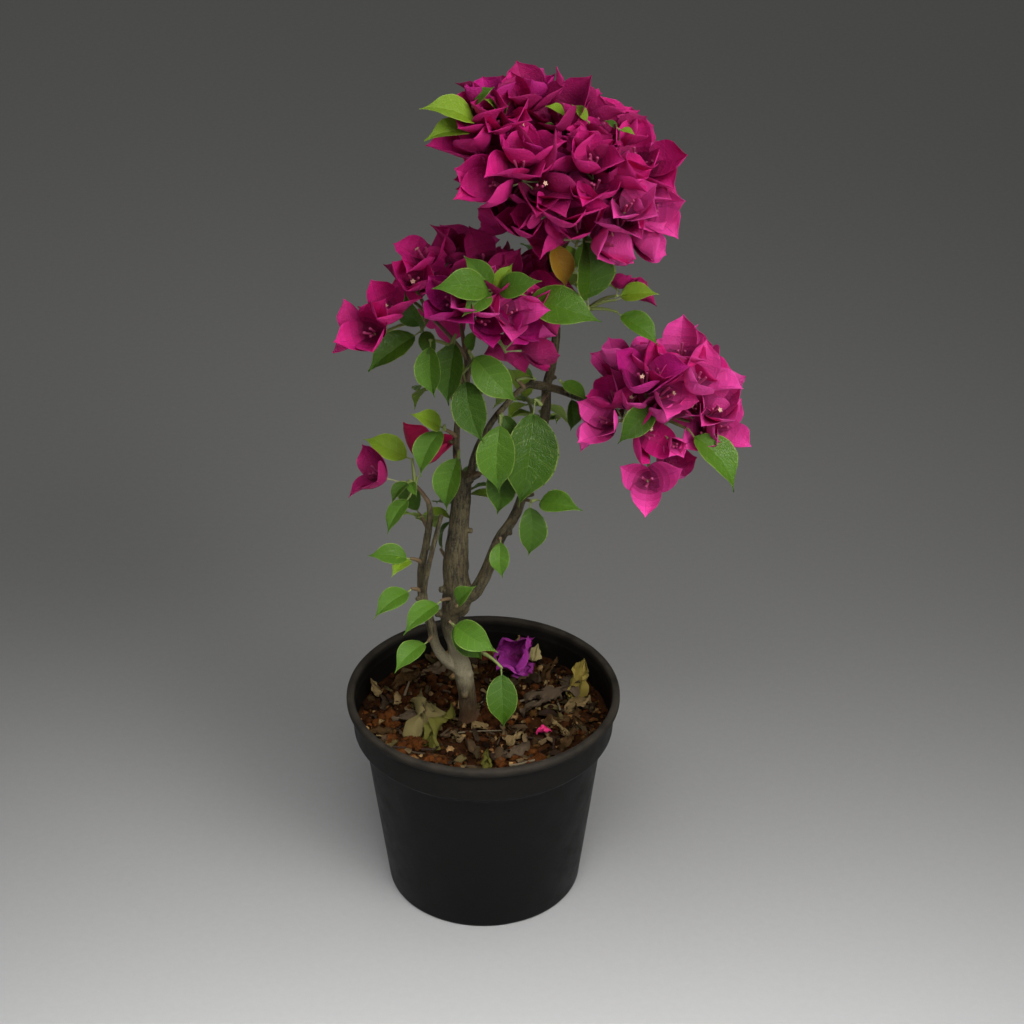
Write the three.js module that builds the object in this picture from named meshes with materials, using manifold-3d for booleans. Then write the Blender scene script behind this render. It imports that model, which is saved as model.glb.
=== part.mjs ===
// A bougainvillea grown in a black nursery pot: the pot, its soil, a forked woody trunk with its stems
// and branches, and the leafy and flowering masses that grow on them by one seeded rule.
// Millimetres, +Z up, origin at the centre of the pot's flat underside. Headings are degrees about +Z
// from +X, and rises are degrees above the horizontal.

import * as THREE from 'three';
import { mergeVertices } from 'three/addons/utils/BufferGeometryUtils.js';
import Module from 'manifold-3d';

const wasm = await Module();
wasm.setup();

// Pot sizes
const potHeight = 164;
const rimRadius = 100;
const rimLipHeight = 6.5;
const rimInnerRadius = 94.4;
const collarRadius = 95.2;
const collarTopRadius = 96.4;
const collarFoot = 135;
const bodyRadius = 87.6;
const bodyTop = 128;
const baseRadius = 71.7;
const baseRound = 3;
const wall = 2.2;
const floorThickness = 2.6;
const innerLedge = 11;
const drainHoles = 6;
const drainHoleRadius = 4;
const drainRingRadius = 48;
const drainHoleSides = 12;
const potSegments = 32;
const lipSteps = 4;
const lipFootHeight = 1;
const ledgeDepth = 0.5;

// Soil sizes
const soilLevel = 138;
const soilRings = 5;
const soilRoughness = 1.6;
const soilWaveLengths = [57, 48, 27, 33];
const footClearing = 16;

// Fits
const gap = 0.3;
const massGap = 0.4;
const sameCorner = 1e-4;

// Limb sizes: each limb is a line of [x, y, z, radius], thick end first
const limbSides = 8;
const limbStepsPerSpan = 2;
const limbMarksPerSpan = 4;
const limbs = {
  trunk: [[-10, 0, 128, 9], [-10, -1, 139, 8.2], [-11, -5, 152, 6.7], [-12, -8, 169, 6.4],
    [-15, -7, 187, 7.2], [-21, -3, 207, 5.4], [-24, 0, 226, 6.6], [-18, 0, 245, 11.5], [-19, 0, 267, 9.3],
    [-16, 0, 309, 7.3], [-12, 0, 346, 5.8]],
  stem_left: [[-16, -7, 187, 4.6], [-26, -8, 195, 4.1], [-34, -8, 209, 3.7], [-37, -8, 226, 3.6],
    [-42, -8, 247, 3.5], [-43, -8, 272, 3.0], [-39, -7, 295, 2.7], [-36, -7, 318, 2.3], [-37, -8, 328, 2.0]],
  stem_left_twin: [[-42, -8, 252, 2.3], [-40, -14, 268, 2.2], [-35, -15, 292, 2.0], [-28, -15, 322, 1.7]],
  stem_right: [[-15, -1, 244, 6.0], [-7, -4, 250, 5.4], [-1, -6, 261, 5.0], [5, -8, 277, 4.6],
    [13, -10, 301, 4.1], [22, -8, 315, 3.8], [27, -5, 327, 3.6], [36, 10, 352, 3.5], [44, 19, 382, 3.5],
    [45, 20, 405, 3.4], [48, 20, 419, 3.3], [51, 20, 444, 3.1], [49, 15, 473, 3.0], [48, 12, 497, 2.7],
    [50, 8, 515, 2.4]],
  branch_top_left: [[-15.5, 0, 340, 2.9], [-17.5, 0, 365, 2.6], [-16, -2, 390, 2.4], [-10, -4, 418, 2.2],
    [-8, -6, 446, 2.0]],
  branch_top: [[-8.5, 0, 340, 2.9], [-5, 0, 361, 2.6], [7, 0, 387, 2.3], [17, 2, 400, 2.2], [26, 5, 409, 2.1],
    [34, 8, 413, 2.0]],
  branch_cross: [[33, 8, 413, 3.1], [54, 0, 412, 2.8], [70, -10, 410, 2.5], [87, -15, 405, 2.3],
    [101, -15, 399, 2.0]],
};

// Growth sizes
const goldenAngle = 137.50776;
const seedStep = 7919;
const stemFootRadius = 2.2;
const stemRadius = 1.8;
const stemSteps = 3;
const twigRadius = 1.5;
const twigSteps = 2;
const pedicelRadius = 0.6;
const pedicelRoot = 0.6;
const pedicelRootStep = 0.3;
const receptacleRadius = 2.4;
const pedicelLength = 11;
const twigBow = 0.1;
const bractLength = 33;
const bractLengthSpread = 0.12;
const bractWidth = 0.85;
const bractOpening = 43;
const bractCup = 0.08;
const bractArch = -0.1;
const bractWidest = 0.46;
const bractLean = 0.5;
const bractsPerFlower = 3;
const heartRise = 0.8;
const flowerSpread = 100;
const flowerHeart = 12;
const flowerSpacing = 30;
const leafWidth = 0.62;
const leafFold = 0.1;
const leafArch = 0.09;
const leafWidest = 0.36;
const leafLength = 30;
const leafRoot = 1;
const leafOutward = 0.7;
const smallLeafSpread = 0.25;
const smallLeafTurn = 60;
const smallLeafRise = 25;
const smallLeafDroop = 60;
const smallLeafFirst = 0.55;
const smallLeafRun = 0.4;
const bladeShoulder = 0.58;
const bladeShoulderWidth = 0.33;
const thicknessShare = 0.03;
const limbClearance = 1.2;

// Masses: the limb that carries the stem and how far along it, the hub where the stem divides, the
// reach from the hub that nothing passes, and the sprays. A spray has the end of its twig, its leaves
// that stand out as [heading, rise, length], its count of flowers and its count of smaller leaves.
const masses = {
  head_top_left: { limb: 'stem_right', along: 0.93, hub: [34, -2, 548], reach: 110, sprays: [
    { end: [10, -8, 607], flowers: 3,
      leaves: [[-161, 6, 46], [-157, -18, 42], [-20, 65, 24], [136, 44, 18]] },
    { end: [8, -14, 583], flowers: 3 },
    { end: [12, -22, 562], flowers: 4 },
    { end: [14, -6, 540], flowers: 2 },
    { end: [33, 4, 610], flowers: 4, more: 1 },
    { end: [28, -40, 583], flowers: 4 },
    { end: [28, -24, 538], flowers: 2 },
    { end: [48, -44, 562], flowers: 3 },
    { end: [49, -16, 528], leaves: [[-43, -65, 30]] },
  ] },
  head_top_right: { limb: 'stem_right', along: 0.945, hub: [73, -6, 546], reach: 104, sprays: [
    { end: [60, 2, 600], flowers: 4, more: 1 },
    { end: [83, 0, 592], flowers: 4, more: 1 },
    { end: [98, -6, 577], flowers: 4 },
    { end: [99, -6, 558], flowers: 4 },
    { end: [89, -22, 539], flowers: 3 },
    { end: [72, -40, 585], flowers: 3 },
    { end: [88, -42, 562], flowers: 3 },
    { end: [62, -30, 533], flowers: 2 },
  ] },
  head_top_back: { limb: 'stem_right', along: 1, hub: [54, 26, 545], reach: 105, sprays: [
    { end: [20, 44, 574], flowers: 4, more: 1 },
    { end: [52, 48, 580], flowers: 4 },
    { end: [85, 44, 573], flowers: 4 },
    { end: [30, 56, 550], flowers: 4, more: 1 },
    { end: [74, 56, 550], flowers: 4, more: 1 },
    { end: [97, 34, 548], flowers: 3 },
    { end: [14, 32, 551], flowers: 3 },
  ] },
  head_left_outer: { limb: 'branch_top_left', along: 0.93, hub: [-34, -8, 472], reach: 78, sprays: [
    { end: [-58, -14, 468], flowers: 1 },
    { end: [-52, -10, 488], flowers: 3 },
    { end: [-44, -2, 490], flowers: 3 },
    { end: [-28, 2, 498], flowers: 3 },
    { end: [-40, -16, 464], leaves: [[-154, -26, 44], [-141, 67, 34], [-64, -36, 24]] },
  ] },
  head_left_inner: { limb: 'branch_top_left', along: 1, hub: [2, -15, 480], reach: 72, sprays: [
    { end: [-10, -34, 490], flowers: 2 },
    { end: [-2, -2, 504], flowers: 2 },
    { end: [14, 4, 500], flowers: 3 },
    { end: [30, -8, 492], flowers: 3 },
    { end: [12, -32, 486], flowers: 2 },
    { end: [24, -32, 474], flowers: 2 },
    { end: [34, -30, 494], leaves: [[-20, -9, 50]] },
    { end: [10, -50, 512],
      leaves: [[-157, 7, 41], [161, 46, 30], [-141, -20, 28], [-22, 19, 32], [32, 50, 22]] },
  ] },
  head_left_back: { limb: 'branch_top_left', along: 0.84, hub: [-16, 20, 470], reach: 75, sprays: [
    { end: [-38, 30, 488], flowers: 3 },
    { end: [-10, 36, 494], flowers: 4, more: 1 },
    { end: [20, 30, 486], flowers: 3, more: 1 },
    { end: [-26, 42, 466], flowers: 2, more: 2 },
  ] },
  head_right_front: { limb: 'branch_cross', along: 1, hub: [114, -16, 403], reach: 74, sprays: [
    { end: [94, -28, 403], flowers: 1 },
    { end: [98, -18, 428], flowers: 2 },
    { end: [110, -32, 426], flowers: 2 },
    { end: [134, -6, 432], flowers: 3 },
    { end: [134, -28, 424], flowers: 2 },
    { end: [150, -4, 416], flowers: 3 },
    { end: [150, -24, 408], flowers: 3 },
    { end: [152, -12, 390], flowers: 3 },
    { end: [124, -32, 394], flowers: 1 },
    { end: [116, -22, 376], flowers: 2 },
    { end: [118, -34, 420], leaves: [[-143, -30, 38]] },
    { end: [140, -38, 402], leaves: [[-31, -43, 52]] },
  ] },
  head_right_back: { limb: 'branch_cross', along: 0.86, hub: [116, 12, 400], reach: 76, sprays: [
    { end: [148, 26, 408], flowers: 3, more: 1 },
    { end: [124, 36, 414], flowers: 3 },
    { end: [132, 30, 378], flowers: 3, more: 1 },
    { end: [102, 28, 392], flowers: 2, more: 2 },
  ] },
  spray_low_left: { limb: 'stem_left', along: 1, hub: [-46, -11, 344], reach: 66, sprays: [
    { end: [-58, -15, 357], flowers: 1 },
    { end: [-43, -6, 360], flowers: 1, leaves: [[172, 30, 38]] },
    { end: [-50, -15, 350], leaves: [[-132, -29, 21], [-70, -20, 14]] },
    { end: [-50, -14, 336], leaves: [[-133, -40, 31]] },
  ] },
  leaves_left_mid: { limb: 'branch_top_left', along: 0.36, hub: [-25, -14, 389], reach: 50, sprays: [
    { leaves: [[-157, 32, 26], [-131, -45, 36]] },
  ] },
  leaf_trunk_front: { limb: 'branch_top_left', along: 0.2, hub: [-16, -13, 366], reach: 48, sprays: [
    { leaves: [[-125, -66, 41]] },
  ] },
  leaves_hanging: { limb: 'branch_top_left', along: 0.72, hub: [-20, -20, 456], reach: 62, sprays: [
    { leaves: [[-116, -68, 44]] },
    { end: [-31, -25, 456], leaves: [[-81, -68, 36]] },
  ] },
  leaves_centre: { limb: 'branch_top_left', along: 0.58, hub: [-5, -19, 444], reach: 66, sprays: [
    { leaves: [[-32, -33, 44], [0, 76, 18]] },
    { end: [-8, -21, 436], leaves: [[-82, -62, 48]] },
  ] },
  leaf_centre_right: { limb: 'branch_top', along: 0.5, hub: [13, -20, 398], reach: 56, sprays: [
    { leaves: [[-97, -74, 48]] },
  ] },
  leaf_fork: { limb: 'branch_top', along: 0.88, hub: [24, 0, 420], reach: 30, sprays: [
    { leaves: [[-23, 41, 17]] },
  ] },
  leaf_big: { limb: 'stem_right', along: 0.62, hub: [41, -8, 405], reach: 80, sprays: [
    { leaves: [[-109, -66, 70]] },
  ] },
  leaf_behind: { limb: 'trunk', along: 0.985, hub: [13, -13, 358], reach: 46, sprays: [
    { leaves: [[-97, -70, 34]] },
  ] },
  leaves_right_low: { limb: 'stem_right', along: 0.43, hub: [34, -20, 336], reach: 56, sprays: [
    { leaves: [[-31, 2, 36], [-121, -74, 38]] },
  ] },
  leaf_right_stem: { limb: 'stem_right', along: 0.28, hub: [13, -20, 306], reach: 36, sprays: [
    { leaves: [[-80, -64, 25]] },
  ] },
  leaf_trunk_side: { limb: 'trunk', along: 0.76, hub: [-30, 12, 278], reach: 36, sprays: [
    { leaves: [[20, 77, 23]] },
  ] },
  leaves_side_left: { limb: 'stem_left', along: 0.66, hub: [-50, -16, 287], reach: 36, sprays: [
    { leaves: [[-170, 14, 27], [-135, 0, 20]] },
  ] },
  leaf_foot_left: { limb: 'stem_left', along: 0.54, hub: [-50, -16, 262], reach: 44, sprays: [
    { leaves: [[-145, -11, 35]] },
  ] },
  leaf_foot_middle: { limb: 'trunk', along: 0.685, hub: [-29, -19, 254], reach: 44, sprays: [
    { leaves: [[-143, -12, 36]] },
  ] },
  leaf_foot_low: { limb: 'stem_left', along: 0.31, hub: [-39, -17, 218], reach: 42, sprays: [
    { leaves: [[-142, -18, 33]] },
  ] },
  leaf_crotch: { limb: 'trunk', along: 0.66, hub: [-17, -17, 250], reach: 34, sprays: [
    { leaves: [[-30, 66, 24]] },
  ] },
  leaf_foot_right: { limb: 'trunk', along: 0.58, hub: [-20, -18, 235], reach: 50, sprays: [
    { leaves: [[-35, -10, 42], [-50, -50, 24]] },
  ] },
  leaf_sucker: { limb: 'trunk', along: 0.4, hub: [6, -23, 199], reach: 54, sprays: [
    { leaves: [[-85, -68, 45]] },
  ] },
  spray_between: { limb: 'stem_right', along: 0.9, hub: [71, -6, 476], reach: 78, sprays: [
    { leaves: [[-110, 80, 60]] },
    { end: [90, -12, 486], flowers: 2, leaves: [[-22, 22, 32]] },
    { end: [96, -14, 476], leaves: [[-38, -32, 34]] },
  ] },
  leaves_back_low: { limb: 'trunk', along: 0.86, hub: [-13, 22, 312], reach: 52, sprays: [
    { end: [-11, 26, 318], leaves: [[70, 20, 30], [-20, 30, 22]], more: 1 },
    { end: [-20, 30, 304], leaves: [[120, -25, 32]] },
  ] },
  leaves_back_left: { limb: 'stem_left', along: 0.8, hub: [-45, 14, 306], reach: 48, sprays: [
    { leaves: [[110, 20, 32], [60, -45, 34]], more: 1 },
  ] },
  leaves_back_right: { limb: 'stem_right', along: 0.5, hub: [36, 36, 372], reach: 66, sprays: [
    { end: [32, 46, 380], leaves: [[110, 10, 40]], more: 2 },
    { end: [44, 50, 362], leaves: [[75, -30, 44]], more: 2 },
  ] },
  leaves_back_middle: { limb: 'branch_top_left', along: 0.5, hub: [-22, 20, 402], reach: 66, sprays: [
    { end: [-30, 34, 398], leaves: [[120, -30, 42]], more: 2 },
    { end: [-12, 36, 394], leaves: [[70, -45, 40]], more: 2 },
  ] },
  leaves_back_high: { limb: 'stem_right', along: 0.82, hub: [56, 36, 470], reach: 66, sprays: [
    { end: [64, 46, 480], leaves: [[50, 15, 40], [20, -20, 30]], more: 2 },
    { end: [44, 48, 476], leaves: [[115, 10, 42]], more: 2 },
  ] },
  leaves_cross: { limb: 'branch_cross', along: 0.3, hub: [59, -9, 417], reach: 40, sprays: [
    { leaves: [[-50, 5, 26], [-60, -70, 26]] },
  ] },
};

const bractForm = { width: bractWidth, arch: bractArch, fold: bractCup, widest: bractWidest };
const leafForm = { width: leafWidth, arch: leafArch, fold: leafFold, widest: leafWidest };

const vector = (p) => new THREE.Vector3(p[0], p[1], p[2]);
const radians = THREE.MathUtils.degToRad;
const up = new THREE.Vector3(0, 0, 1);

// Gives the same run of numbers between 0 and 1 for the same seed.
function seeded(seed) {
  let state = seed;
  return () => {
    state = (state * 16807) % 2147483647;
    return state / 2147483647;
  };
}

// The direction of a heading and a rise.
function aim(heading, rise) {
  const h = radians(heading);
  const r = radians(rise);
  return new THREE.Vector3(Math.cos(h) * Math.cos(r), Math.sin(h) * Math.cos(r), Math.sin(r));
}

// A closed geometry as a solid: equal corners merged, and triangles that shrank to a line left out.
function solid(geometry) {
  const bare = geometry.clone();
  bare.deleteAttribute('normal');
  bare.deleteAttribute('uv');
  const merged = mergeVertices(bare, sameCorner);
  const index = merged.index.array;
  const triangles = [];
  for (let i = 0; i < index.length; i += 3) {
    const [a, b, c] = [index[i], index[i + 1], index[i + 2]];
    if (a !== b && b !== c && c !== a) triangles.push(a, b, c);
  }
  return new wasm.Manifold(new wasm.Mesh({
    numProp: 3,
    vertProperties: new Float32Array(merged.attributes.position.array),
    triVerts: new Uint32Array(triangles),
  }));
}

// A solid back as a geometry.
function geometryOf(body) {
  const mesh = body.getMesh();
  const geometry = new THREE.BufferGeometry();
  geometry.setAttribute('position', new THREE.BufferAttribute(new Float32Array(mesh.vertProperties), 3));
  geometry.setIndex(new THREE.BufferAttribute(new Uint32Array(mesh.triVerts), 1));
  geometry.computeVertexNormals();
  return geometry;
}

// Joins solids two by two, so that each join stays small.
function join(bodies) {
  let level = bodies;
  while (level.length > 1) {
    const next = [];
    for (let i = 0; i < level.length; i += 2) {
      next.push(i + 1 < level.length ? level[i].add(level[i + 1]) : level[i]);
    }
    level = next;
  }
  return level[0];
}

// The biggest body of a solid; loose scraps are dropped.
function biggestBody(body) {
  const bodies = body.decompose();
  return bodies.reduce((best, each) => (each.volume() > best.volume() ? each : best));
}

// A closed tube along a curve, round or three-sided, with a radius for each step: a cylinder's rings
// are laid across the curve, each turned as little as possible from the ring before it.
function tubeGeometry(curve, radiusAt, sides, steps, overrun = 0) {
  const frames = [];
  let across = null;
  for (let i = 0; i <= steps; i++) {
    const t = i / steps;
    const tangent = curve.getTangent(t);
    const past = i === 0 ? -overrun : i === steps ? overrun : 0;
    if (!across) across = Math.abs(tangent.z) > 0.9 ? new THREE.Vector3(1, 0, 0) : up.clone();
    across = across.clone().addScaledVector(tangent, -across.dot(tangent)).normalize();
    const point = curve.getPoint(t).addScaledVector(tangent, past);
    frames.push({ point, across, beside: across.clone().cross(tangent), radius: radiusAt(t) });
  }
  const geometry = new THREE.CylinderGeometry(1, 1, 1, sides, steps);
  const position = geometry.attributes.position;
  for (let i = 0; i < position.count; i++) {
    const frame = frames[Math.round((position.getY(i) + 0.5) * steps)];
    const corner = frame.point.clone()
      .addScaledVector(frame.across, position.getX(i) * frame.radius)
      .addScaledVector(frame.beside, position.getZ(i) * frame.radius);
    position.setXYZ(i, corner.x, corner.y, corner.z);
  }
  return geometry;
}

// Limb lines: the curve of a limb, and its radius at a share of its length
const limbCurve = {};
for (const [name, line] of Object.entries(limbs)) {
  limbCurve[name] = new THREE.CatmullRomCurve3(line.map(vector), false, 'centripetal');
}

function limbRadius(name, t) {
  const line = limbs[name];
  const place = Math.min(t, 1) * (line.length - 1);
  const i = Math.min(Math.floor(place), line.length - 2);
  return THREE.MathUtils.lerp(line[i][3], line[i + 1][3], THREE.MathUtils.smoothstep(place - i, 0, 1));
}

function limbSolid(name, grown) {
  const steps = (limbs[name].length - 1) * limbStepsPerSpan;
  return solid(tubeGeometry(limbCurve[name], (t) => limbRadius(name, t) + grown, limbSides, steps, grown));
}

// Points along each limb's line, for telling how near a leaf or a flower comes to it
const limbMarks = Object.keys(limbs).flatMap((name) => {
  const count = (limbs[name].length - 1) * limbMarksPerSpan;
  return Array.from({ length: count + 1 }, (_, i) => (
    { point: limbCurve[name].getPoint(i / count), radius: limbRadius(name, i / count) }
  ));
});

function nearLimb(point) {
  return limbMarks.some((mark) => mark.point.distanceTo(point) < mark.radius + limbClearance);
}

// A twig between two points, bowed upward, three-sided.
function twig(start, end, startRadius, endRadius, bow, steps) {
  const middle = start.clone().lerp(end, 0.5).addScaledVector(up, bow * start.distanceTo(end));
  const curve = new THREE.QuadraticBezierCurve3(start, middle, end);
  return { curve, startRadius, endRadius, steps };
}

function twigSolid(piece) {
  const radiusAt = (t) => THREE.MathUtils.lerp(piece.startRadius, piece.endRadius, t);
  return solid(tubeGeometry(piece.curve, radiusAt, 3, piece.steps));
}

// A leaf or a bract: a folded blade from its root to its tip. Its face looks along "face", its midrib
// arches off the straight line to the tip, and its edges stand off the midrib.
function blade(root, direction, face, length, form) {
  const normal = face.clone().addScaledVector(direction, -face.dot(direction)).normalize();
  const side = normal.clone().cross(direction);
  return { root, direction, normal, side, length, ...form };
}

function bladePoint(piece, t, across) {
  const lift = piece.arch * 4 * t * (1 - t) + piece.fold * Math.abs(across) * 2;
  return piece.root.clone()
    .addScaledVector(piece.direction, t * piece.length)
    .addScaledVector(piece.side, across * piece.width * piece.length)
    .addScaledVector(piece.normal, lift * piece.length);
}

// The blade's corners: root, two on each edge and the tip, as [share of the length, share of the width]
function bladeOutline(widest) {
  const shoulder = widest + (1 - widest) * bladeShoulder;
  const half = bladeShoulderWidth;
  return [[0, 0], [widest, -0.5], [shoulder, -half], [1, 0], [shoulder, half], [widest, 0.5]];
}

function bladeSolid(piece) {
  const outline = bladeOutline(piece.widest);
  const corners = outline.map(([t, across]) => bladePoint(piece, t, across));
  const middle = bladePoint(piece, 0.5, 0);
  const half = piece.length * thicknessShare / 2;
  corners.push(middle.clone().addScaledVector(piece.normal, half));
  corners.push(middle.clone().addScaledVector(piece.normal, -half));
  const count = outline.length;
  const faces = [];
  for (let i = 0; i < count; i++) {
    const next = (i + 1) % count;
    faces.push(count, i, next, count + 1, next, i);
  }
  const geometry = new THREE.BufferGeometry().setFromPoints(corners);
  geometry.setIndex(faces);
  return solid(geometry);
}

// A leaf: its face looks up and away from the plant's middle line.
const plantAxis = new THREE.Vector2(20, 0);

function leaf(from, direction, length) {
  const root = from.clone().addScaledVector(direction, -leafRoot);
  const outward = new THREE.Vector3(root.x - plantAxis.x, root.y - plantAxis.y, 0).normalize();
  const face = up.clone().addScaledVector(outward, leafOutward);
  return blade(root, direction, face, length + leafRoot, leafForm);
}

// A flower: a short stalk along its axis, and three bracts that open round it like a cup. Their root
// edges are the sides of the stalk's end.
function flower(root, axis, size, spin) {
  const base = root.clone().addScaledVector(axis, pedicelLength);
  const across = Math.abs(axis.z) > 0.9 ? new THREE.Vector3(1, 0, 0) : up.clone();
  across.addScaledVector(axis, -across.dot(axis)).normalize();
  const beside = axis.clone().cross(across);
  const radialAt = (turn) => across.clone().multiplyScalar(Math.cos(radians(turn)))
    .addScaledVector(beside, Math.sin(radians(turn)));
  const opening = radians(bractOpening);
  const turnStep = 360 / bractsPerFlower;
  const bracts = [];
  const stalkRing = [];
  const endRing = [];
  for (let i = 0; i < bractsPerFlower; i++) {
    const turn = spin + i * turnStep;
    const radial = radialAt(turn);
    const direction = axis.clone().multiplyScalar(Math.cos(opening))
      .addScaledVector(radial, Math.sin(opening));
    const inward = axis.clone().addScaledVector(radial, -bractLean);
    bracts.push(blade(base, direction, inward, size, bractForm));
    const corner = radialAt(turn + turnStep / 2);
    stalkRing.push(root.clone().addScaledVector(corner, pedicelRadius));
    endRing.push(base.clone().addScaledVector(corner, receptacleRadius));
  }
  const middle = base.clone().addScaledVector(axis, heartRise);
  return { bracts, stalkRing, endRing, middle, heart: base.clone().addScaledVector(axis, flowerHeart) };
}

function flowerSolid(bloom) {
  const n = bractsPerFlower;
  const corners = [...bloom.stalkRing, ...bloom.endRing, bloom.middle];
  const faces = [2, 1, 0];
  bloom.bracts.forEach((bract, i) => {
    const before = (i + n - 1) % n;
    faces.push(before, i, n + i, before, n + i, n + before);
    const edge = bladeOutline(bract.widest).slice(1).map(([t, across]) => {
      corners.push(bladePoint(bract, t, across));
      return corners.length - 1;
    });
    const middle = bladePoint(bract, 0.5, 0);
    const half = bract.length * thicknessShare / 2;
    const inner = corners.push(middle.clone().addScaledVector(bract.normal, half)) - 1;
    const outer = corners.push(middle.clone().addScaledVector(bract.normal, -half)) - 1;
    const rim = [n + before, ...edge, n + i];
    const innerRim = [...rim, 2 * n];
    innerRim.forEach((corner, k) => faces.push(inner, corner, innerRim[(k + 1) % innerRim.length]));
    rim.forEach((corner, k) => faces.push(outer, rim[(k + 1) % rim.length], corner));
  });
  const geometry = new THREE.BufferGeometry().setFromPoints(corners);
  geometry.setIndex(faces);
  return solid(geometry);
}

// The rule that grows a mass: a stem from its limb to the hub, a twig to each spray, leaves that stand
// out, flowers dealt by the golden angle round the twig's direction, and smaller leaves along the twig.
function grow(mass, seed) {
  const random = seeded(seed);
  const start = limbCurve[mass.limb].getPoint(mass.along);
  const hub = vector(mass.hub);
  const inside = (point) => point.distanceTo(hub) < mass.reach && !nearLimb(point);
  const stem = twig(start, hub, stemFootRadius, stemRadius, twigBow, stemSteps);
  const grown = { twigs: [stem], leaves: [], flowers: [] };
  for (const spray of mass.sprays) {
    const end = spray.end ? vector(spray.end) : hub;
    const from = spray.end ? hub : start;
    const axis = end.clone().sub(from).normalize();
    const line = twig(from, end, stemRadius, twigRadius, twigBow * random() * 2, twigSteps);
    if (spray.end) grown.twigs.push(line);
    (spray.leaves ?? []).forEach(([heading, rise, length], i) => {
      const root = end.clone().addScaledVector(axis, -leafRoot * (i + 1));
      grown.leaves.push(leaf(root, aim(heading, rise), length));
    });
    const phase = random() * 360;
    const across = Math.abs(axis.z) > 0.9 ? new THREE.Vector3(1, 0, 0) : up.clone();
    across.addScaledVector(axis, -across.dot(axis)).normalize();
    const beside = axis.clone().cross(across);
    const count = spray.flowers ?? 0;
    for (let i = 0; i < count; i++) {
      const tilt = Math.acos(1 - (i / count) * (1 - Math.cos(radians(flowerSpread))));
      const turn = radians(phase + i * goldenAngle);
      const facing = axis.clone().multiplyScalar(Math.cos(tilt))
        .addScaledVector(across, Math.sin(tilt) * Math.cos(turn))
        .addScaledVector(beside, Math.sin(tilt) * Math.sin(turn));
      const size = bractLength * (1 + bractLengthSpread * (2 * random() - 1));
      const spin = random() * (360 / bractsPerFlower);
      const root = end.clone().addScaledVector(axis, -pedicelRoot - pedicelRootStep * i);
      const bloom = flower(root, facing, size, spin);
      const tips = bloom.bracts.map((bract) => bladePoint(bract, 1, 0));
      const middles = bloom.bracts.map((bract) => bladePoint(bract, 0.5, 0));
      if ([...tips, ...middles].every(inside)) grown.flowers.push({ ...bloom, rank: i });
    }
    const more = spray.more ?? 0;
    for (let i = 0; i < more; i++) {
      const heading = phase + smallLeafTurn + i * goldenAngle;
      const rise = smallLeafRise - smallLeafDroop * random();
      const length = leafLength * (1 + smallLeafSpread * (2 * random() - 1));
      const root = line.curve.getPoint(smallLeafFirst + smallLeafRun * (i + 0.5) / more);
      const small = leaf(root, aim(heading, rise), length);
      const points = [bladePoint(small, 0.6, 0), bladePoint(small, 1, 0)];
      if (points.every(inside)) grown.leaves.push(small);
    }
  }
  return grown;
}

// Puts a solid in the space left by the other masses, and says whether there was room.
const placed = [];

function boxesMeet(a, b) {
  return [0, 1, 2].every((i) => a.min[i] - massGap < b.max[i] && b.min[i] - massGap < a.max[i]);
}

function place(body, owner) {
  const box = body.boundingBox();
  const meets = placed.some((other) => (
    other.owner !== owner && boxesMeet(box, other.box) && body.minGap(other.body, massGap * 2) < massGap
  ));
  if (!meets) placed.push({ body, box, owner });
  return !meets;
}

// Pot: one turned shell with a rolled lip, a stepped collar and drain holes in its floor
function profileGeometry(points, segments) {
  const geometry = new THREE.LatheGeometry(points.map(([r, z]) => new THREE.Vector2(r, z)), segments);
  return geometry.rotateX(Math.PI / 2);
}

function cornerPoints(radius, height, round, count) {
  return Array.from({ length: count + 1 }, (_, i) => {
    const a = -Math.PI / 2 + (Math.PI / 2) * (i / count);
    return [radius - round + round * Math.cos(a), height + round + round * Math.sin(a)];
  });
}

function lipPoints(count) {
  const lipMiddle = (rimRadius + rimInnerRadius) / 2;
  const lipHalf = (rimRadius - rimInnerRadius) / 2;
  return Array.from({ length: count + 1 }, (_, i) => {
    const a = Math.PI * (i / count);
    return [lipMiddle + lipHalf * Math.cos(a), potHeight - lipHalf + lipHalf * Math.sin(a)];
  });
}

const innerBase = baseRadius - wall;
const innerBody = bodyRadius - wall;
const innerCollar = collarRadius - wall;
const wallRise = 1;

function makePot() {
  const shell = solid(profileGeometry([
    [0, 0],
    ...cornerPoints(baseRadius, 0, baseRound, 3),
    [bodyRadius, bodyTop],
    [collarRadius, collarFoot],
    [collarTopRadius, potHeight - rimLipHeight],
    [rimRadius, potHeight - rimLipHeight + lipFootHeight],
    ...lipPoints(lipSteps),
    [innerCollar + ledgeDepth * 2, potHeight - innerLedge + lipFootHeight],
    [innerCollar + ledgeDepth, potHeight - innerLedge],
    [innerCollar, collarFoot + wallRise],
    [innerBody, bodyTop + wallRise],
    [innerBase, floorThickness],
    [0, floorThickness],
  ], potSegments));
  const depth = floorThickness * 4;
  const hole = new THREE.CylinderGeometry(drainHoleRadius, drainHoleRadius, depth, drainHoleSides);
  hole.rotateX(Math.PI / 2);
  let pot = shell;
  for (let i = 0; i < drainHoles; i++) {
    const a = (i / drainHoles) * Math.PI * 2;
    const one = hole.clone().translate(drainRingRadius * Math.cos(a), drainRingRadius * Math.sin(a), 0);
    pot = pot.subtract(solid(one));
  }
  return pot;
}

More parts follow.
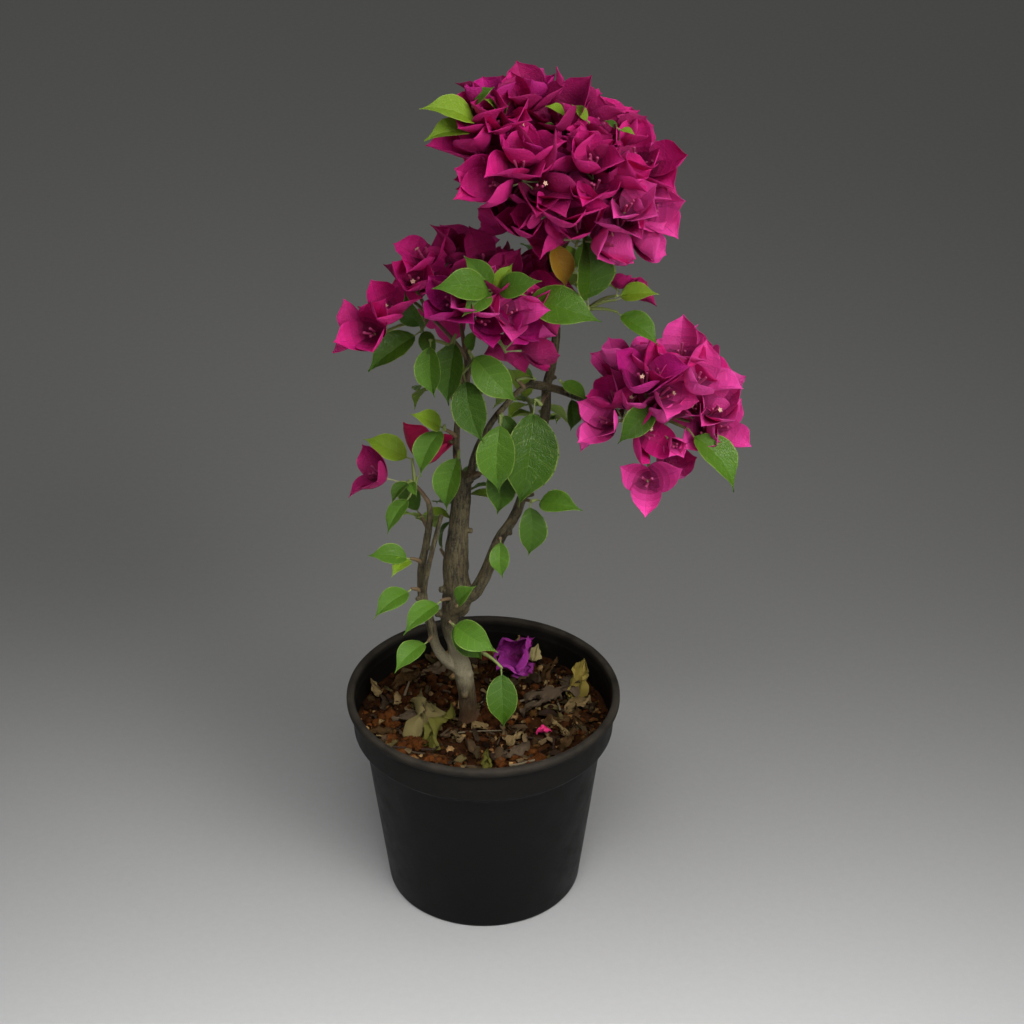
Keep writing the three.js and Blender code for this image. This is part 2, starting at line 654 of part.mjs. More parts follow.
// Soil: a turned block that fills the pot, with a rough top that is flat round the trunk's foot
function soilLift(x, y) {
  const [footX, footY] = limbs.trunk[1];
  const clear = THREE.MathUtils.smoothstep(Math.hypot(x - footX, y - footY), footClearing, footClearing * 2);
  const [a, b, c, d] = soilWaveLengths.map((length) => (Math.PI * 2) / length);
  const waves = Math.sin(x * a) * Math.cos(y * b) + 0.6 * Math.sin(x * c - y * d);
  return soilRoughness * clear * (waves - 0.6);
}

function makeSoil() {
  const edge = innerCollar - gap;
  const rings = Array.from({ length: soilRings }, (_, i) => [edge * (1 - i / soilRings), soilLevel]);
  const geometry = profileGeometry([
    [0, floorThickness + gap],
    [innerBase - gap, floorThickness + gap],
    [innerBody - gap, bodyTop + wallRise + gap],
    [edge, collarFoot + wallRise + gap],
    ...rings,
    [0, soilLevel],
  ], potSegments);
  const position = geometry.attributes.position;
  for (let i = 0; i < position.count; i++) {
    const [x, y, z] = [position.getX(i), position.getY(i), position.getZ(i)];
    if (z > soilLevel - 0.01) position.setZ(i, z + soilLift(x, y));
  }
  return solid(geometry);
}

// Trunk: cut flat just above the soil
function makeTrunk() {
  const side = footClearing * 4;
  const block = new THREE.BoxGeometry(side, side, side);
  block.translate(limbs.trunk[1][0], limbs.trunk[1][1], soilLevel + gap - side / 2);
  return limbSolid('trunk', 0).subtract(solid(block));
}

// Finishes
const finish = (color, roughness) => new THREE.MeshStandardMaterial({ color, roughness, metalness: 0 });
const potBlack = () => finish(0x17181a, 0.45);
const soilBrown = () => finish(0x3b2618, 0.95);
const barkBrown = () => finish(0x6e5d47, 0.9);
const bractMagenta = () => finish(0xa81568, 0.7);
const leafGreen = () => finish(0x4c7a26, 0.55);

// Assembly
const plant = new THREE.Group();

function addPart(name, body, material) {
  const mesh = new THREE.Mesh(geometryOf(body), material);
  mesh.name = name;
  plant.add(mesh);
}

addPart('pot', makePot(), potBlack());
addPart('soil', makeSoil(), soilBrown());

const clearLimbs = {};
for (const name of Object.keys(limbs)) {
  let body = name === 'trunk' ? makeTrunk() : limbSolid(name, 0);
  for (const other of Object.values(clearLimbs)) body = body.subtract(other);
  addPart(name, biggestBody(body), barkBrown());
  clearLimbs[name] = limbSolid(name, gap);
}

// The masses' twigs take their room first, then the leaves, then the flowers, one from each spray in turn
const massNames = Object.keys(masses);
const grown = massNames.map((name, i) => grow(masses[name], seedStep * (i + 1)));
const bodies = massNames.map(() => []);
massNames.forEach((name, i) => {
  grown[i].twigs.forEach((piece, k) => {
    const whole = twigSolid(piece);
    const body = k === 0 ? whole.subtract(clearLimbs[masses[name].limb]) : whole;
    if (!place(body, name)) throw new Error(`twig ${k} of ${name} touches another mass`);
    bodies[i].push(body);
  });
});
massNames.forEach((name, i) => {
  for (const piece of grown[i].leaves) {
    const body = bladeSolid(piece);
    if (place(body, name)) bodies[i].push(body);
  }
});
const ranks = Math.max(...grown.flatMap((mass) => mass.flowers.map((bloom) => bloom.rank)));
const hearts = [];
for (let rank = 0; rank <= ranks; rank++) {
  massNames.forEach((name, i) => {
    for (const bloom of grown[i].flowers.filter((each) => each.rank === rank)) {
      if (hearts.some((heart) => heart.distanceTo(bloom.heart) < flowerSpacing)) continue;
      const body = flowerSolid(bloom);
      if (!place(body, name)) continue;
      bodies[i].push(body);
      hearts.push(bloom.heart);
    }
  });
}
massNames.forEach((name, i) => {
  let body = join(bodies[i]);
  for (const limb of Object.values(clearLimbs)) body = body.subtract(limb);
  const hasFlowers = grown[i].flowers.length > 0;
  addPart(name, biggestBody(body), hasFlowers ? bractMagenta() : leafGreen());
});

export default plant;
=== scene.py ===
"""Dresses the potted bougainvillea: its pot, soil, litter, bark, twigs, leaves and blossom, with a stage.

Lengths in this file are millimetres, as in the part's source, and become metres when a mesh is built.
Headings are degrees about +Z from +X, and rises are degrees above the horizontal.
"""

import math

import bmesh
import bpy
import numpy as np
from bpy.props import FloatProperty, FloatVectorProperty, IntProperty, PointerProperty
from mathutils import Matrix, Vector, kdtree, noise


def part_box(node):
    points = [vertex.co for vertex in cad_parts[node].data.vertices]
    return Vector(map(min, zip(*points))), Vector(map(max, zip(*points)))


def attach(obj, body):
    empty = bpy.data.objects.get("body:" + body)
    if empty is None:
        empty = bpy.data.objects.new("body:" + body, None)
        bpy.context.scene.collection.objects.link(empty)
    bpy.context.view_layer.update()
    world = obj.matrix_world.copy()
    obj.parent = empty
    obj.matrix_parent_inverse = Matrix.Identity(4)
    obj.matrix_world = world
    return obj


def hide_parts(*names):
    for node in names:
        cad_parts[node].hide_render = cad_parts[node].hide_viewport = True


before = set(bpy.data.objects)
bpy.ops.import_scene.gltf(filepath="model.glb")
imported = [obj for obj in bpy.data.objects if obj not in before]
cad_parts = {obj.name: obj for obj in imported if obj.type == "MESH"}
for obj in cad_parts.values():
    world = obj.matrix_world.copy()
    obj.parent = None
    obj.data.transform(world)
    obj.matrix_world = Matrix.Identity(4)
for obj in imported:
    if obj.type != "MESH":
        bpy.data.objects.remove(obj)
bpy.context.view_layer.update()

bl_info = {
    "name": "Potted Bougainvillea",
    "version": (1, 0, 0),
    "blender": (4, 5, 0),
    "location": "3D View > Sidebar > Bougainvillea",
    "description": "Builds a potted bougainvillea bush in flower, with its stage and camera",
    "category": "Add Mesh",
}

MILLIMETRE = 0.001


def ink(code):
    """The linear colour of a 0xRRGGBB code."""
    shares = [((code >> shift) & 255) / 255 for shift in (16, 8, 0)]
    return tuple(s / 12.92 if s <= 0.04045 else ((s + 0.055) / 1.055) ** 2.4 for s in shares)


def node_box(name):
    """The lowest and highest corner of a node, in millimetres."""
    low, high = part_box(name)
    return np.array(low) / MILLIMETRE, np.array(high) / MILLIMETRE


# Sizes read from the frame
RIM_RADIUS, _, POT_HEIGHT = node_box("pot")[1]
SOIL_LOW, SOIL_HIGH = node_box("soil")
SOIL_RADIUS = SOIL_HIGH[0]
TRUNK_CLEARANCE = 0.3
SOIL_LEVEL = node_box("trunk")[0][2] - TRUNK_CLEARANCE

# Pot sizes
RIM_LIP_HEIGHT = 6.5
RIM_INNER_RADIUS = 94.4
COLLAR_RADIUS = 95.2
COLLAR_TOP_RADIUS = 96.4
COLLAR_FOOT = 135
BODY_RADIUS = 87.6
BODY_TOP = 128
BASE_RADIUS = 71.7
WALL = 2.2
FLOOR_THICKNESS = 2.6
INNER_LEDGE = 11
DRAIN_HOLES = 6
DRAIN_HOLE_RADIUS = 4
DRAIN_RING_RADIUS = 48
DRILL_BELOW, DRILL_ABOVE = 4, 8
POT_SIDES = 160

# Dust on the pot: how far below the rim it starts and is full, and how far below and above the collar's foot
LIP_DUST = (6, 1.5)
COLLAR_DUST = (6, 3)

# Growth sizes, as in the part's source
GOLDEN_ANGLE = 137.50776
SEED_STEP = 7919
STEM_FOOT_RADIUS = 2.2
STEM_RADIUS = 1.8
TWIG_RADIUS = 1.5
TWIG_BOW = 0.1
TWIG_STEPS = 20
PEDICEL_ROOT = 0.6
PEDICEL_ROOT_STEP = 0.3
PEDICEL_LENGTH = 11
BRACT_LENGTH = 33
BRACT_LENGTH_SPREAD = 0.12
BRACT_OPENING = 43
BRACT_LEAN = 0.5
BRACTS_PER_FLOWER = 3
FLOWER_SPREAD = 100
FLOWER_HEART = 12
FLOWER_SPACING = 30
LEAF_LENGTH = 30
LEAF_ROOT = 1
LEAF_OUTWARD = 0.5
LEAF_TURN = 0.6
SMALL_LEAF_SPREAD = 0.25
SMALL_LEAF_TURN = 60
SMALL_LEAF_RISE = 25
SMALL_LEAF_DROOP = 60
SMALL_LEAF_FIRST = 0.55
SMALL_LEAF_RUN = 0.4
PLANT_AXIS = (20, 0)
LIMB_CLEARANCE = 1.2
LIMB_MARKS_PER_SPAN = 4

# Seeds of what this file adds to the source's growth
CRUMB_SEED = 4201
LITTER_SEED = 911
FALLEN_SEED = 23
KNOT_SEED = 77
LEAF_SEED = 3307
BLOSSOM_SEED = 5501
FILL_SEED = 4099


def spray(end, flowers=0, leaves=(), more=0):
    """A twig from the hub, the leaves and flowers at its end, and its count of smaller leaves."""
    return {"end": end, "flowers": flowers, "leaves": leaves, "more": more}


def mass(limb, along, hub, reach, sprays):
    """A leafy or flowering mass: the limb that carries it, where it divides, and how far it reaches."""
    return {"limb": limb, "along": along, "hub": hub, "reach": reach, "sprays": sprays}


def lone(limb, along, hub, reach, *leaves):
    """A mass that is one twig with its leaves."""
    return mass(limb, along, hub, reach, [spray(None, leaves=leaves)])


# Limb lines: x, y, z and radius, thick end first
LIMBS = {
    "trunk": [
        (-10, 0, 128, 9), (-10, -1, 139, 8.2), (-11, -5, 152, 6.7), (-12, -8, 169, 6.4),
        (-15, -7, 187, 7.2), (-21, -3, 207, 5.4), (-24, 0, 226, 6.6), (-18, 0, 245, 11.5),
        (-19, 0, 267, 9.3), (-16, 0, 309, 7.3), (-12, 0, 346, 5.8),
    ],
    "stem_left": [
        (-16, -7, 187, 4.6), (-26, -8, 195, 4.1), (-34, -8, 209, 3.7), (-37, -8, 226, 3.6),
        (-42, -8, 247, 3.5), (-43, -8, 272, 3), (-39, -7, 295, 2.7), (-36, -7, 318, 2.3),
        (-37, -8, 328, 2),
    ],
    "stem_left_twin": [
        (-42, -8, 252, 2.3), (-40, -14, 268, 2.2), (-35, -15, 292, 2), (-28, -15, 322, 1.7),
    ],
    "stem_right": [
        (-15, -1, 244, 6), (-7, -4, 250, 5.4), (-1, -6, 261, 5), (5, -8, 277, 4.6),
        (13, -10, 301, 4.1), (22, -8, 315, 3.8), (27, -5, 327, 3.6), (36, 10, 352, 3.5),
        (44, 19, 382, 3.5), (45, 20, 405, 3.4), (48, 20, 419, 3.3), (51, 20, 444, 3.1),
        (49, 15, 473, 3), (48, 12, 497, 2.7), (50, 8, 515, 2.4),
    ],
    "branch_top_left": [
        (-15.5, 0, 340, 2.9), (-17.5, 0, 365, 2.6), (-16, -2, 390, 2.4), (-10, -4, 418, 2.2),
        (-8, -6, 446, 2),
    ],
    "branch_top": [
        (-8.5, 0, 340, 2.9), (-5, 0, 361, 2.6), (7, 0, 387, 2.3), (17, 2, 400, 2.2), (26, 5, 409, 2.1),
        (34, 8, 413, 2),
    ],
    "branch_cross": [
        (33, 8, 413, 3.1), (54, 0, 412, 2.8), (70, -10, 410, 2.5), (87, -15, 405, 2.3),
        (101, -15, 399, 2),
    ],
}

# Masses by name, in the order of their seeds; a leaf is (heading, rise, length, kind where it is set)
MASSES = {
    "head_top_left": mass("stem_right", 0.93, (34, -2, 548), 110, [
        spray((10, -8, 607), flowers=3, leaves=[(-20, 65, 24), (136, 44, 18)]),
        spray((8, -14, 583), flowers=3),
        spray((12, -22, 562), flowers=4),
        spray((14, -6, 540), flowers=2),
        spray((33, 4, 610), flowers=4, more=1),
        spray((28, -40, 583), flowers=4),
        spray((28, -24, 538), flowers=2),
        spray((48, -44, 562), flowers=3),
        spray((47, -24, 534), leaves=[(-43, -65, 33, "mustard")]),
        spray((-10, -12, 603), flowers=3),
    ]),
    "head_top_right": mass("stem_right", 0.945, (73, -6, 546), 104, [
        spray((60, 2, 600), flowers=4, more=1),
        spray((83, 0, 592), flowers=4, more=1),
        spray((103, -6, 578), flowers=4),
        spray((99, -6, 558), flowers=4),
        spray((89, -22, 539), flowers=3),
        spray((72, -40, 585), flowers=3),
        spray((88, -42, 562), flowers=3),
        spray((62, -30, 533), flowers=2),
    ]),
    "head_top_back": mass("stem_right", 1, (54, 26, 545), 105, [
        spray((20, 44, 574), flowers=4, more=1),
        spray((52, 48, 580), flowers=4),
        spray((85, 44, 573), flowers=4),
        spray((30, 56, 550), flowers=4, more=1),
        spray((74, 56, 550), flowers=4, more=1),
        spray((97, 34, 548), flowers=3),
        spray((14, 32, 551), flowers=3),
    ]),
    "head_left_outer": mass("branch_top_left", 0.93, (-34, -8, 472), 78, [
        spray((-67, -16, 463), flowers=1),
        spray((-52, -10, 488), flowers=3),
        spray((-44, -2, 490), flowers=3),
        spray((-28, 2, 498), flowers=3),
        spray((-40, -16, 464), leaves=[(-154, -26, 44), (-141, 67, 34), (-64, -36, 24)]),
    ]),
    "head_left_inner": mass("branch_top_left", 1, (2, -15, 480), 72, [
        spray((-10, -34, 490), flowers=2),
        spray((-2, -2, 504), flowers=2),
        spray((14, 4, 500), flowers=3),
        spray((30, -8, 492), flowers=3),
        spray((12, -32, 486), flowers=2),
        spray((17, -28, 455), flowers=2),
        spray((28, -30, 499), leaves=[(-20, -10, 56, "green")]),
        spray((10, -50, 512), leaves=[
            (-157, 13, 43, "green"), (161, 46, 30, "green"), (-141, -20, 28, "green"),
            (-22, 23, 35, "green"), (32, 50, 22, "fresh"),
        ]),
    ]),
    "head_left_back": mass("branch_top_left", 0.84, (-16, 20, 470), 75, [
        spray((-38, 30, 488), flowers=3),
        spray((-10, 36, 494), flowers=4, more=1),
        spray((20, 30, 486), flowers=3, more=1),
        spray((-26, 42, 466), flowers=2, more=2),
    ]),
    "head_right_front": mass("branch_cross", 1, (114, -16, 403), 74, [
        spray((94, -28, 403), flowers=1),
        spray((98, -18, 428), flowers=2),
        spray((110, -32, 426), flowers=2),
        spray((134, -6, 432), flowers=3),
        spray((134, -28, 424), flowers=2),
        spray((150, -4, 416), flowers=3),
        spray((150, -24, 408), flowers=3),
        spray((152, -12, 390), flowers=3),
        spray((124, -32, 394), flowers=1),
        spray((114, -28, 358), flowers=2),
        spray((118, -34, 420), leaves=[(-143, -30, 38, "deep")]),
        spray((140, -38, 402), leaves=[(-31, -43, 52, "green")]),
    ]),
    "head_right_back": mass("branch_cross", 0.86, (116, 12, 400), 76, [
        spray((148, 26, 408), flowers=3, more=1),
        spray((124, 36, 414), flowers=3),
        spray((132, 30, 378), flowers=3, more=1),
        spray((102, 28, 392), flowers=2, more=2),
    ]),
    "spray_low_left": mass("stem_left", 1, (-46, -11, 344), 66, [
        spray((-56, -14, 348), flowers=1),
        spray((-44, -9, 349), flowers=1),
        spray((-48, -4, 361), leaves=[(165, 19, 37, "fresh")]),
        spray((-50, -15, 350), leaves=[(-132, -29, 21, "deep"), (-70, -20, 14, "green")]),
        spray((-50, -14, 336), leaves=[(-133, -40, 31, "green")]),
    ]),
    "leaves_left_mid": mass("branch_top_left", 0.36, (-25, -14, 389), 50, [
        spray((-26, -12, 390), leaves=[(-152, 36, 30, "fresh")]),
        spray((-25, -14, 393), leaves=[(-130, -46, 38, "green")]),
    ]),
    "leaf_trunk_front": mass("branch_top_left", 0.2, (-16, -13, 366), 48, [
        spray((-15, -14, 373), leaves=[(-123, -64, 43, "green")]),
    ]),
    "leaves_hanging": mass("branch_top_left", 0.72, (-20, -20, 456), 62, [
        spray((-16, -18, 464), leaves=[(-112, -69, 48, "deep")]),
        spray((-34, -25, 463), leaves=[(-77, -73, 39, "green")]),
    ]),
    "leaves_centre": mass("branch_top_left", 0.58, (-5, -19, 444), 66, [
        spray((-8, -20, 453), leaves=[(-26, -40, 47, "green"), (0, 76, 18)]),
        spray((-12, -24, 437), leaves=[(-56, -62, 49, "deep")]),
    ]),
    "leaf_centre_right": mass("branch_top", 0.5, (13, -20, 398), 56, [
        spray((13, -23, 405), leaves=[(-94, -72, 54, "green")]),
        spray((14, -5, 397), leaves=[(-21, -52, 20, "deep")]),
    ]),
    "leaf_fork": mass("branch_top", 0.88, (24, 0, 420), 30, [
        spray((37, 5, 418), leaves=[(-161, 39, 17, "deep")]),
    ]),
    "leaf_big": mass("stem_right", 0.62, (41, -8, 405), 80, [
        spray((36, -9, 410), leaves=[(-112, -70, 76, "deep")]),
    ]),
    "leaf_behind": mass("trunk", 0.985, (13, -13, 358), 46, [
        spray((17, -10, 368), leaves=[(-115, -70, 43, "deep")]),
    ]),
    "leaves_right_low": mass("stem_right", 0.43, (34, -20, 336), 56, [
        spray((38, -16, 335), leaves=[(-34, 8, 38, "green")]),
        spray(None, leaves=[(-97, -74, 40, "deep")]),
    ]),
    "leaf_right_stem": lone("stem_right", 0.28, (13, -20, 306), 36, (-84, -64, 28, "green")),
    "leaf_trunk_side": lone("trunk", 0.76, (-30, 12, 278), 36, (10, 74, 26, "deep")),
    "leaves_side_left": lone(
        "stem_left", 0.66, (-50, -16, 287), 36, (-170, 12, 31, "green"), (-128, -6, 23, "fresh"),
    ),
    "leaf_foot_left": lone("stem_left", 0.54, (-50, -16, 262), 44, (-142, -16, 36, "green")),
    "leaf_foot_middle": lone("trunk", 0.685, (-29, -19, 254), 44, (-138, -18, 38, "green")),
    "leaf_foot_low": lone("stem_left", 0.31, (-39, -17, 218), 42, (-140, -22, 34, "green")),
    "leaf_crotch": lone("trunk", 0.66, (-18, -17, 248), 34, (-30, 56, 26, "green")),
    "leaf_foot_right": lone(
        "trunk", 0.58, (-23, -18, 235), 50, (-35, -13, 42, "green"), (-12, -52, 38, "deep"),
    ),
    "leaf_sucker": mass("trunk", 0.46, (1, -15, 206), 54, [
        spray((14, -25, 200), leaves=[(-84, -68, 45, "deep")]),
    ]),
    "spray_between": mass("stem_right", 0.9, (71, -6, 476), 78, [
        spray((71, -27, 487), leaves=[(180, 86, 59, "deep")]),
        spray((90, -4, 482), flowers=2),
        spray((91, -12, 477), leaves=[(-32, -24, 37, "green")]),
        spray((90, -26, 496), leaves=[(-18, 13, 29, "fresh")]),
    ]),
    "leaves_back_low": mass("trunk", 0.86, (-13, 22, 312), 52, [
        spray((-11, 26, 318), leaves=[(70, 20, 30), (-20, 30, 22)], more=2),
        spray((-20, 30, 304), leaves=[(120, -25, 32)]),
    ]),
    "leaves_back_left": mass("stem_left", 0.8, (-45, 14, 306), 48, [
        spray(None, leaves=[(110, 20, 32), (60, -45, 34)], more=2),
    ]),
    "leaves_back_right": mass("stem_right", 0.5, (36, 36, 372), 66, [
        spray((32, 46, 380), leaves=[(110, 10, 40)], more=4),
        spray((44, 50, 362), leaves=[(75, -30, 44)], more=2),
    ]),
    "leaves_back_middle": mass("branch_top_left", 0.5, (-22, 20, 402), 66, [
        spray((-30, 34, 398), leaves=[(120, -30, 42)], more=4),
        spray((-12, 36, 394), leaves=[(70, -45, 40)], more=2),
    ]),
    "leaves_back_high": mass("stem_right", 0.82, (56, 36, 470), 66, [
        spray((64, 46, 480), leaves=[(50, 15, 40), (20, -20, 30)], more=4),
        spray((44, 48, 476), leaves=[(115, 10, 42)], more=2),
    ]),
    "leaves_cross": mass("branch_cross", 0.3, (59, -9, 417), 40, [
        spray((53, -7, 424), leaves=[(-38, -18, 25, "green")]),
        spray((62, -4, 409), leaves=[(-88, -77, 25, "deep")]),
    ]),
}

# Masses whose flowers and leaves are joined into the same pieces
REGIONS = {
    "top": ["head_top_left", "head_top_right", "head_top_back"],
    "left": ["head_left_outer", "head_left_inner", "head_left_back"],
    "right": ["head_right_front", "head_right_back"],
    "low": ["spray_low_left", "spray_between"],
    "front": [
        "leaves_left_mid", "leaf_trunk_front", "leaves_hanging", "leaves_centre", "leaf_centre_right",
        "leaf_fork", "leaf_big", "leaf_behind", "leaves_right_low", "leaf_right_stem", "leaves_cross",
    ],
    "foot": [
        "leaf_trunk_side", "leaves_side_left", "leaf_foot_left", "leaf_foot_middle", "leaf_foot_low",
        "leaf_crotch", "leaf_foot_right", "leaf_sucker",
    ],
    "back": [
        "leaves_back_low", "leaves_back_left", "leaves_back_right", "leaves_back_middle", "leaves_back_high",
    ],
}


def colour_setting(name, description, code):
    """A colour that can be set, with its default as a 0xRRGGBB code."""
    return FloatVectorProperty(
        name=name, description=description, default=ink(code), min=0, max=1, subtype="COLOR",
    )


def length_setting(name, description, default, low, high):
    """A length that can be set, in metres."""
    return FloatProperty(
        name=name, description=description, default=default, min=low, max=high, precision=5, unit="LENGTH",
    )


def count_setting(name, description, default, high):
    """A count that can be set."""
    return IntProperty(name=name, description=description, default=default, min=0, max=high)


class PotSettings(bpy.types.PropertyGroup):
    """The plastic of the pot."""

    plastic: colour_setting("Plastic", "Colour of the moulded plastic", 0x080808)
    dust: colour_setting("Dust", "Colour of the dust on the lip and the collar", 0x36312A)
    roughness: FloatProperty(
        name="Roughness", description="Roughness of clean plastic", default=0.42, min=0, max=1,
        subtype="FACTOR",
    )


class SoilSettings(bpy.types.PropertyGroup):
    """The soil and what lies on it."""

    crumbs: count_setting("Crumbs", "Count of loose crumbs on the soil", 2600, 6000)
    flakes: count_setting("Dry flakes", "Count of dry leaf flakes on the soil", 190, 600)
    sticks: count_setting("Sticks", "Count of small sticks on the soil", 34, 200)
    earth: colour_setting("Earth", "Colour of the moist soil", 0x2A1607)


class BarkSettings(bpy.types.PropertyGroup):
    """The bark of trunk, stems and branches."""

    relief: length_setting("Relief", "Depth of the bark's fissures in metres", 0.0007, 0, 0.003)
    voxel: length_setting("Voxel", "Size of the bark mesh's cells in metres", 0.0007, 0.0004, 0.003)
    pale: colour_setting("Pale bark", "Colour of the bark's ridges", 0x5A5235)
    # The dark bark is painted shade where it fills the furrows, and the bark's own colour in its fine dark
    # specks
    dark: colour_setting("Dark bark", "Colour of the bark's crevices", 0x1C160D)


class LeafSettings(bpy.types.PropertyGroup):
    """The leaves."""

    thickness: length_setting("Thickness", "Thickness of a leaf in metres", 0.00035, 0.0001, 0.001)
    green: colour_setting("Green", "Colour of a grown leaf", 0x4E761A)
    fresh: colour_setting("Fresh green", "Colour of a young leaf", 0x7A9A22)
    deep: colour_setting("Deep green", "Colour of an old leaf", 0x3A5C0E)
    mustard: colour_setting("Mustard", "Colour of a leaf that turns", 0x98701A)


class BlossomSettings(bpy.types.PropertyGroup):
    """The bracts and the small tube flowers in them."""

    spacing: length_setting("Spacing", "Least distance between two flowers in metres", 0.0165, 0.01, 0.05)
    thickness: length_setting("Thickness", "Thickness of a bract in metres", 0.0003, 0.0001, 0.001)
    magenta: colour_setting("Magenta", "Colour of most bracts", 0xD21E80)
    deep: colour_setting("Deep magenta", "Colour of the darker bracts", 0xA81864)
    pink: colour_setting("Pink", "Colour of the lighter bracts", 0xEA46A4)
    crimson: colour_setting("Crimson", "Colour of the redder bracts", 0xB0144E)
    violet: colour_setting("Violet", "Colour of the bluer bracts", 0xBC1A80)
    faded: colour_setting("Faded", "Colour of the fallen bracts", 0x88237C)


class StageSettings(bpy.types.PropertyGroup):
    """The floor and the light."""

    floor: colour_setting("Floor", "Colour of the floor", 0x898989)
    light: FloatProperty(
        name="Light", description="Power of the main light in watts", default=3.5, min=0, max=100,
        unit="POWER",
    )


class PlantSettings(bpy.types.PropertyGroup):
    """All the settings of the plant."""

    pot: PointerProperty(type=PotSettings)
    soil: PointerProperty(type=SoilSettings)
    bark: PointerProperty(type=BarkSettings)
    leaves: PointerProperty(type=LeafSettings)
    blossom: PointerProperty(type=BlossomSettings)
    stage: PointerProperty(type=StageSettings)


def settings():
    """The plant's settings in this scene."""
    return bpy.context.scene.bougainvillea


# Directions and chance

def unit(vector):
    """The vector at length one."""
    return vector / np.linalg.norm(vector)


def aim(heading, rise):
    """The direction of a heading and a rise."""
    h, r = math.radians(heading), math.radians(rise)
    return np.array([math.cos(h) * math.cos(r), math.sin(h) * math.cos(r), math.sin(r)])


UP = np.array([0.0, 0.0, 1.0])
AHEAD = np.array([0.0, 1.0, 0.0])


def seeded(seed):
    """A function that gives the same run of numbers between 0 and 1 for the same seed."""
    state = seed

    def draw():
        nonlocal state
        state = state * 16807 % 2147483647
        return state / 2147483647

    return draw


def between(random, low, high):
    """A number between two limits."""
    return low + (high - low) * random()


def across_frame(axis):
    """Two directions square to an axis and to each other."""
    across = np.array([1.0, 0.0, 0.0]) if abs(axis[2]) > 0.9 else UP
    across = unit(across - axis * (across @ axis))
    return across, np.cross(axis, across)


def tilted(axis, tilt, turn):
    """The direction that leans from an axis by a tilt, turned about it, both in radians."""
    across, beside = across_frame(axis)
    return axis * math.cos(tilt) + (across * math.cos(turn) + beside * math.sin(turn)) * math.sin(tilt)


def smoothstep(x, low, high):
    """A smooth step from 0 at low to 1 at high."""
    share = np.clip((x - low) / (high - low), 0, 1)
    return share * share * (3 - 2 * share)


# Limb curves: smooth curves through the limbs' points, as the part's source draws them

def limb_point(name, t):
    """The point at a share of a limb's length, on a centripetal spline through its points."""
    points = [np.array(p[:3], float) for p in LIMBS[name]]
    count = len(points)
    place = (count - 1) * t
    i = min(int(place), count - 2)
    w = place - i
    before = points[i - 1] if i > 0 else 2 * points[0] - points[1]
    after = points[i + 2] if i + 2 < count else 2 * points[-1] - points[-2]
    x0, x1, x2, x3 = before, points[i], points[i + 1], after
    d0, d1, d2 = (((b - a) @ (b - a)) ** 0.25 for a, b in ((x0, x1), (x1, x2), (x2, x3)))
    t1 = ((x1 - x0) / d0 - (x2 - x0) / (d0 + d1) + (x2 - x1) / d1) * d1
    t2 = ((x2 - x1) / d1 - (x3 - x1) / (d1 + d2) + (x3 - x2) / d2) * d1
    c2 = 3 * (x2 - x1) - 2 * t1 - t2
    c3 = 2 * (x1 - x2) + t1 + t2
    return x1 + w * (t1 + w * (c2 + w * c3))


def limb_radius(name, t):
    """The radius at a share of a limb's length."""
    line = LIMBS[name]
    place = min(t, 1) * (len(line) - 1)
    i = min(int(place), len(line) - 2)
    share = float(smoothstep(place - i, 0, 1))
    return line[i][3] * (1 - share) + line[i + 1][3] * share


def limb_marks(name, per_span):
    """Points along a limb's middle line, and the radius at each."""
    count = (len(LIMBS[name]) - 1) * per_span
    shares = [i / count for i in range(count + 1)]
    return np.array([limb_point(name, t) for t in shares]), np.array([limb_radius(name, t) for t in shares])


# Mesh building

class Shape:
    """Corners, faces, their finishes and their places in the pattern, gathered for one joined mesh."""

    def __init__(self):
        self.points, self.faces, self.tones, self.places = [], [], [], []
        self.count = 0

    def add(self, points, groups, places=None):
        """Adds groups of faces of three or four corners, each with one finish or one for each face."""
        self.points.append(np.asarray(points, float))
        for faces, tones in groups:
            self.faces.append(np.asarray(faces, int) + self.count)
            self.tones.append(np.broadcast_to(tones, len(faces)))
        self.places.append(np.zeros((len(points), 2)) if places is None else places)
        self.count += len(points)

    def mesh(self, name, crease=50):
        """The gathered faces as one mesh in metres, smooth but for edges sharper than the crease."""
        corners = np.concatenate([each.ravel() for each in self.faces])
        sizes = np.concatenate([np.full(len(each), each.shape[1]) for each in self.faces])
        starts = np.concatenate([[0], np.cumsum(sizes)[:-1]])
        mesh = bpy.data.meshes.new(name)
        mesh.vertices.add(self.count)
        mesh.vertices.foreach_set("co", (np.concatenate(self.points) * MILLIMETRE).ravel())
        mesh.loops.add(len(corners))
        mesh.loops.foreach_set("vertex_index", corners)
        mesh.polygons.add(len(sizes))
        mesh.polygons.foreach_set("loop_start", starts)
        mesh.polygons.foreach_set("material_index", np.concatenate(self.tones))
        mesh.polygons.foreach_set("use_smooth", np.ones(len(sizes), bool))
        layer = mesh.uv_layers.new(name="Pattern")
        layer.data.foreach_set("uv", np.concatenate(self.places)[corners].ravel())
        mesh.update(calc_edges=True)
        mesh.validate()
        mesh.set_sharp_from_angle(angle=math.radians(crease))
        return mesh


def put(mesh, name, finishes, nodes=()):
    """Shows a mesh as a piece of the plant's body, in a slot's finish, in place of some nodes."""
    piece = bpy.data.objects.new(name, mesh)
    bpy.context.scene.collection.objects.link(piece)
    for finish in finishes:
        mesh.materials.append(finish)
    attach(piece, "root")
    if nodes:
        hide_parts(*nodes)


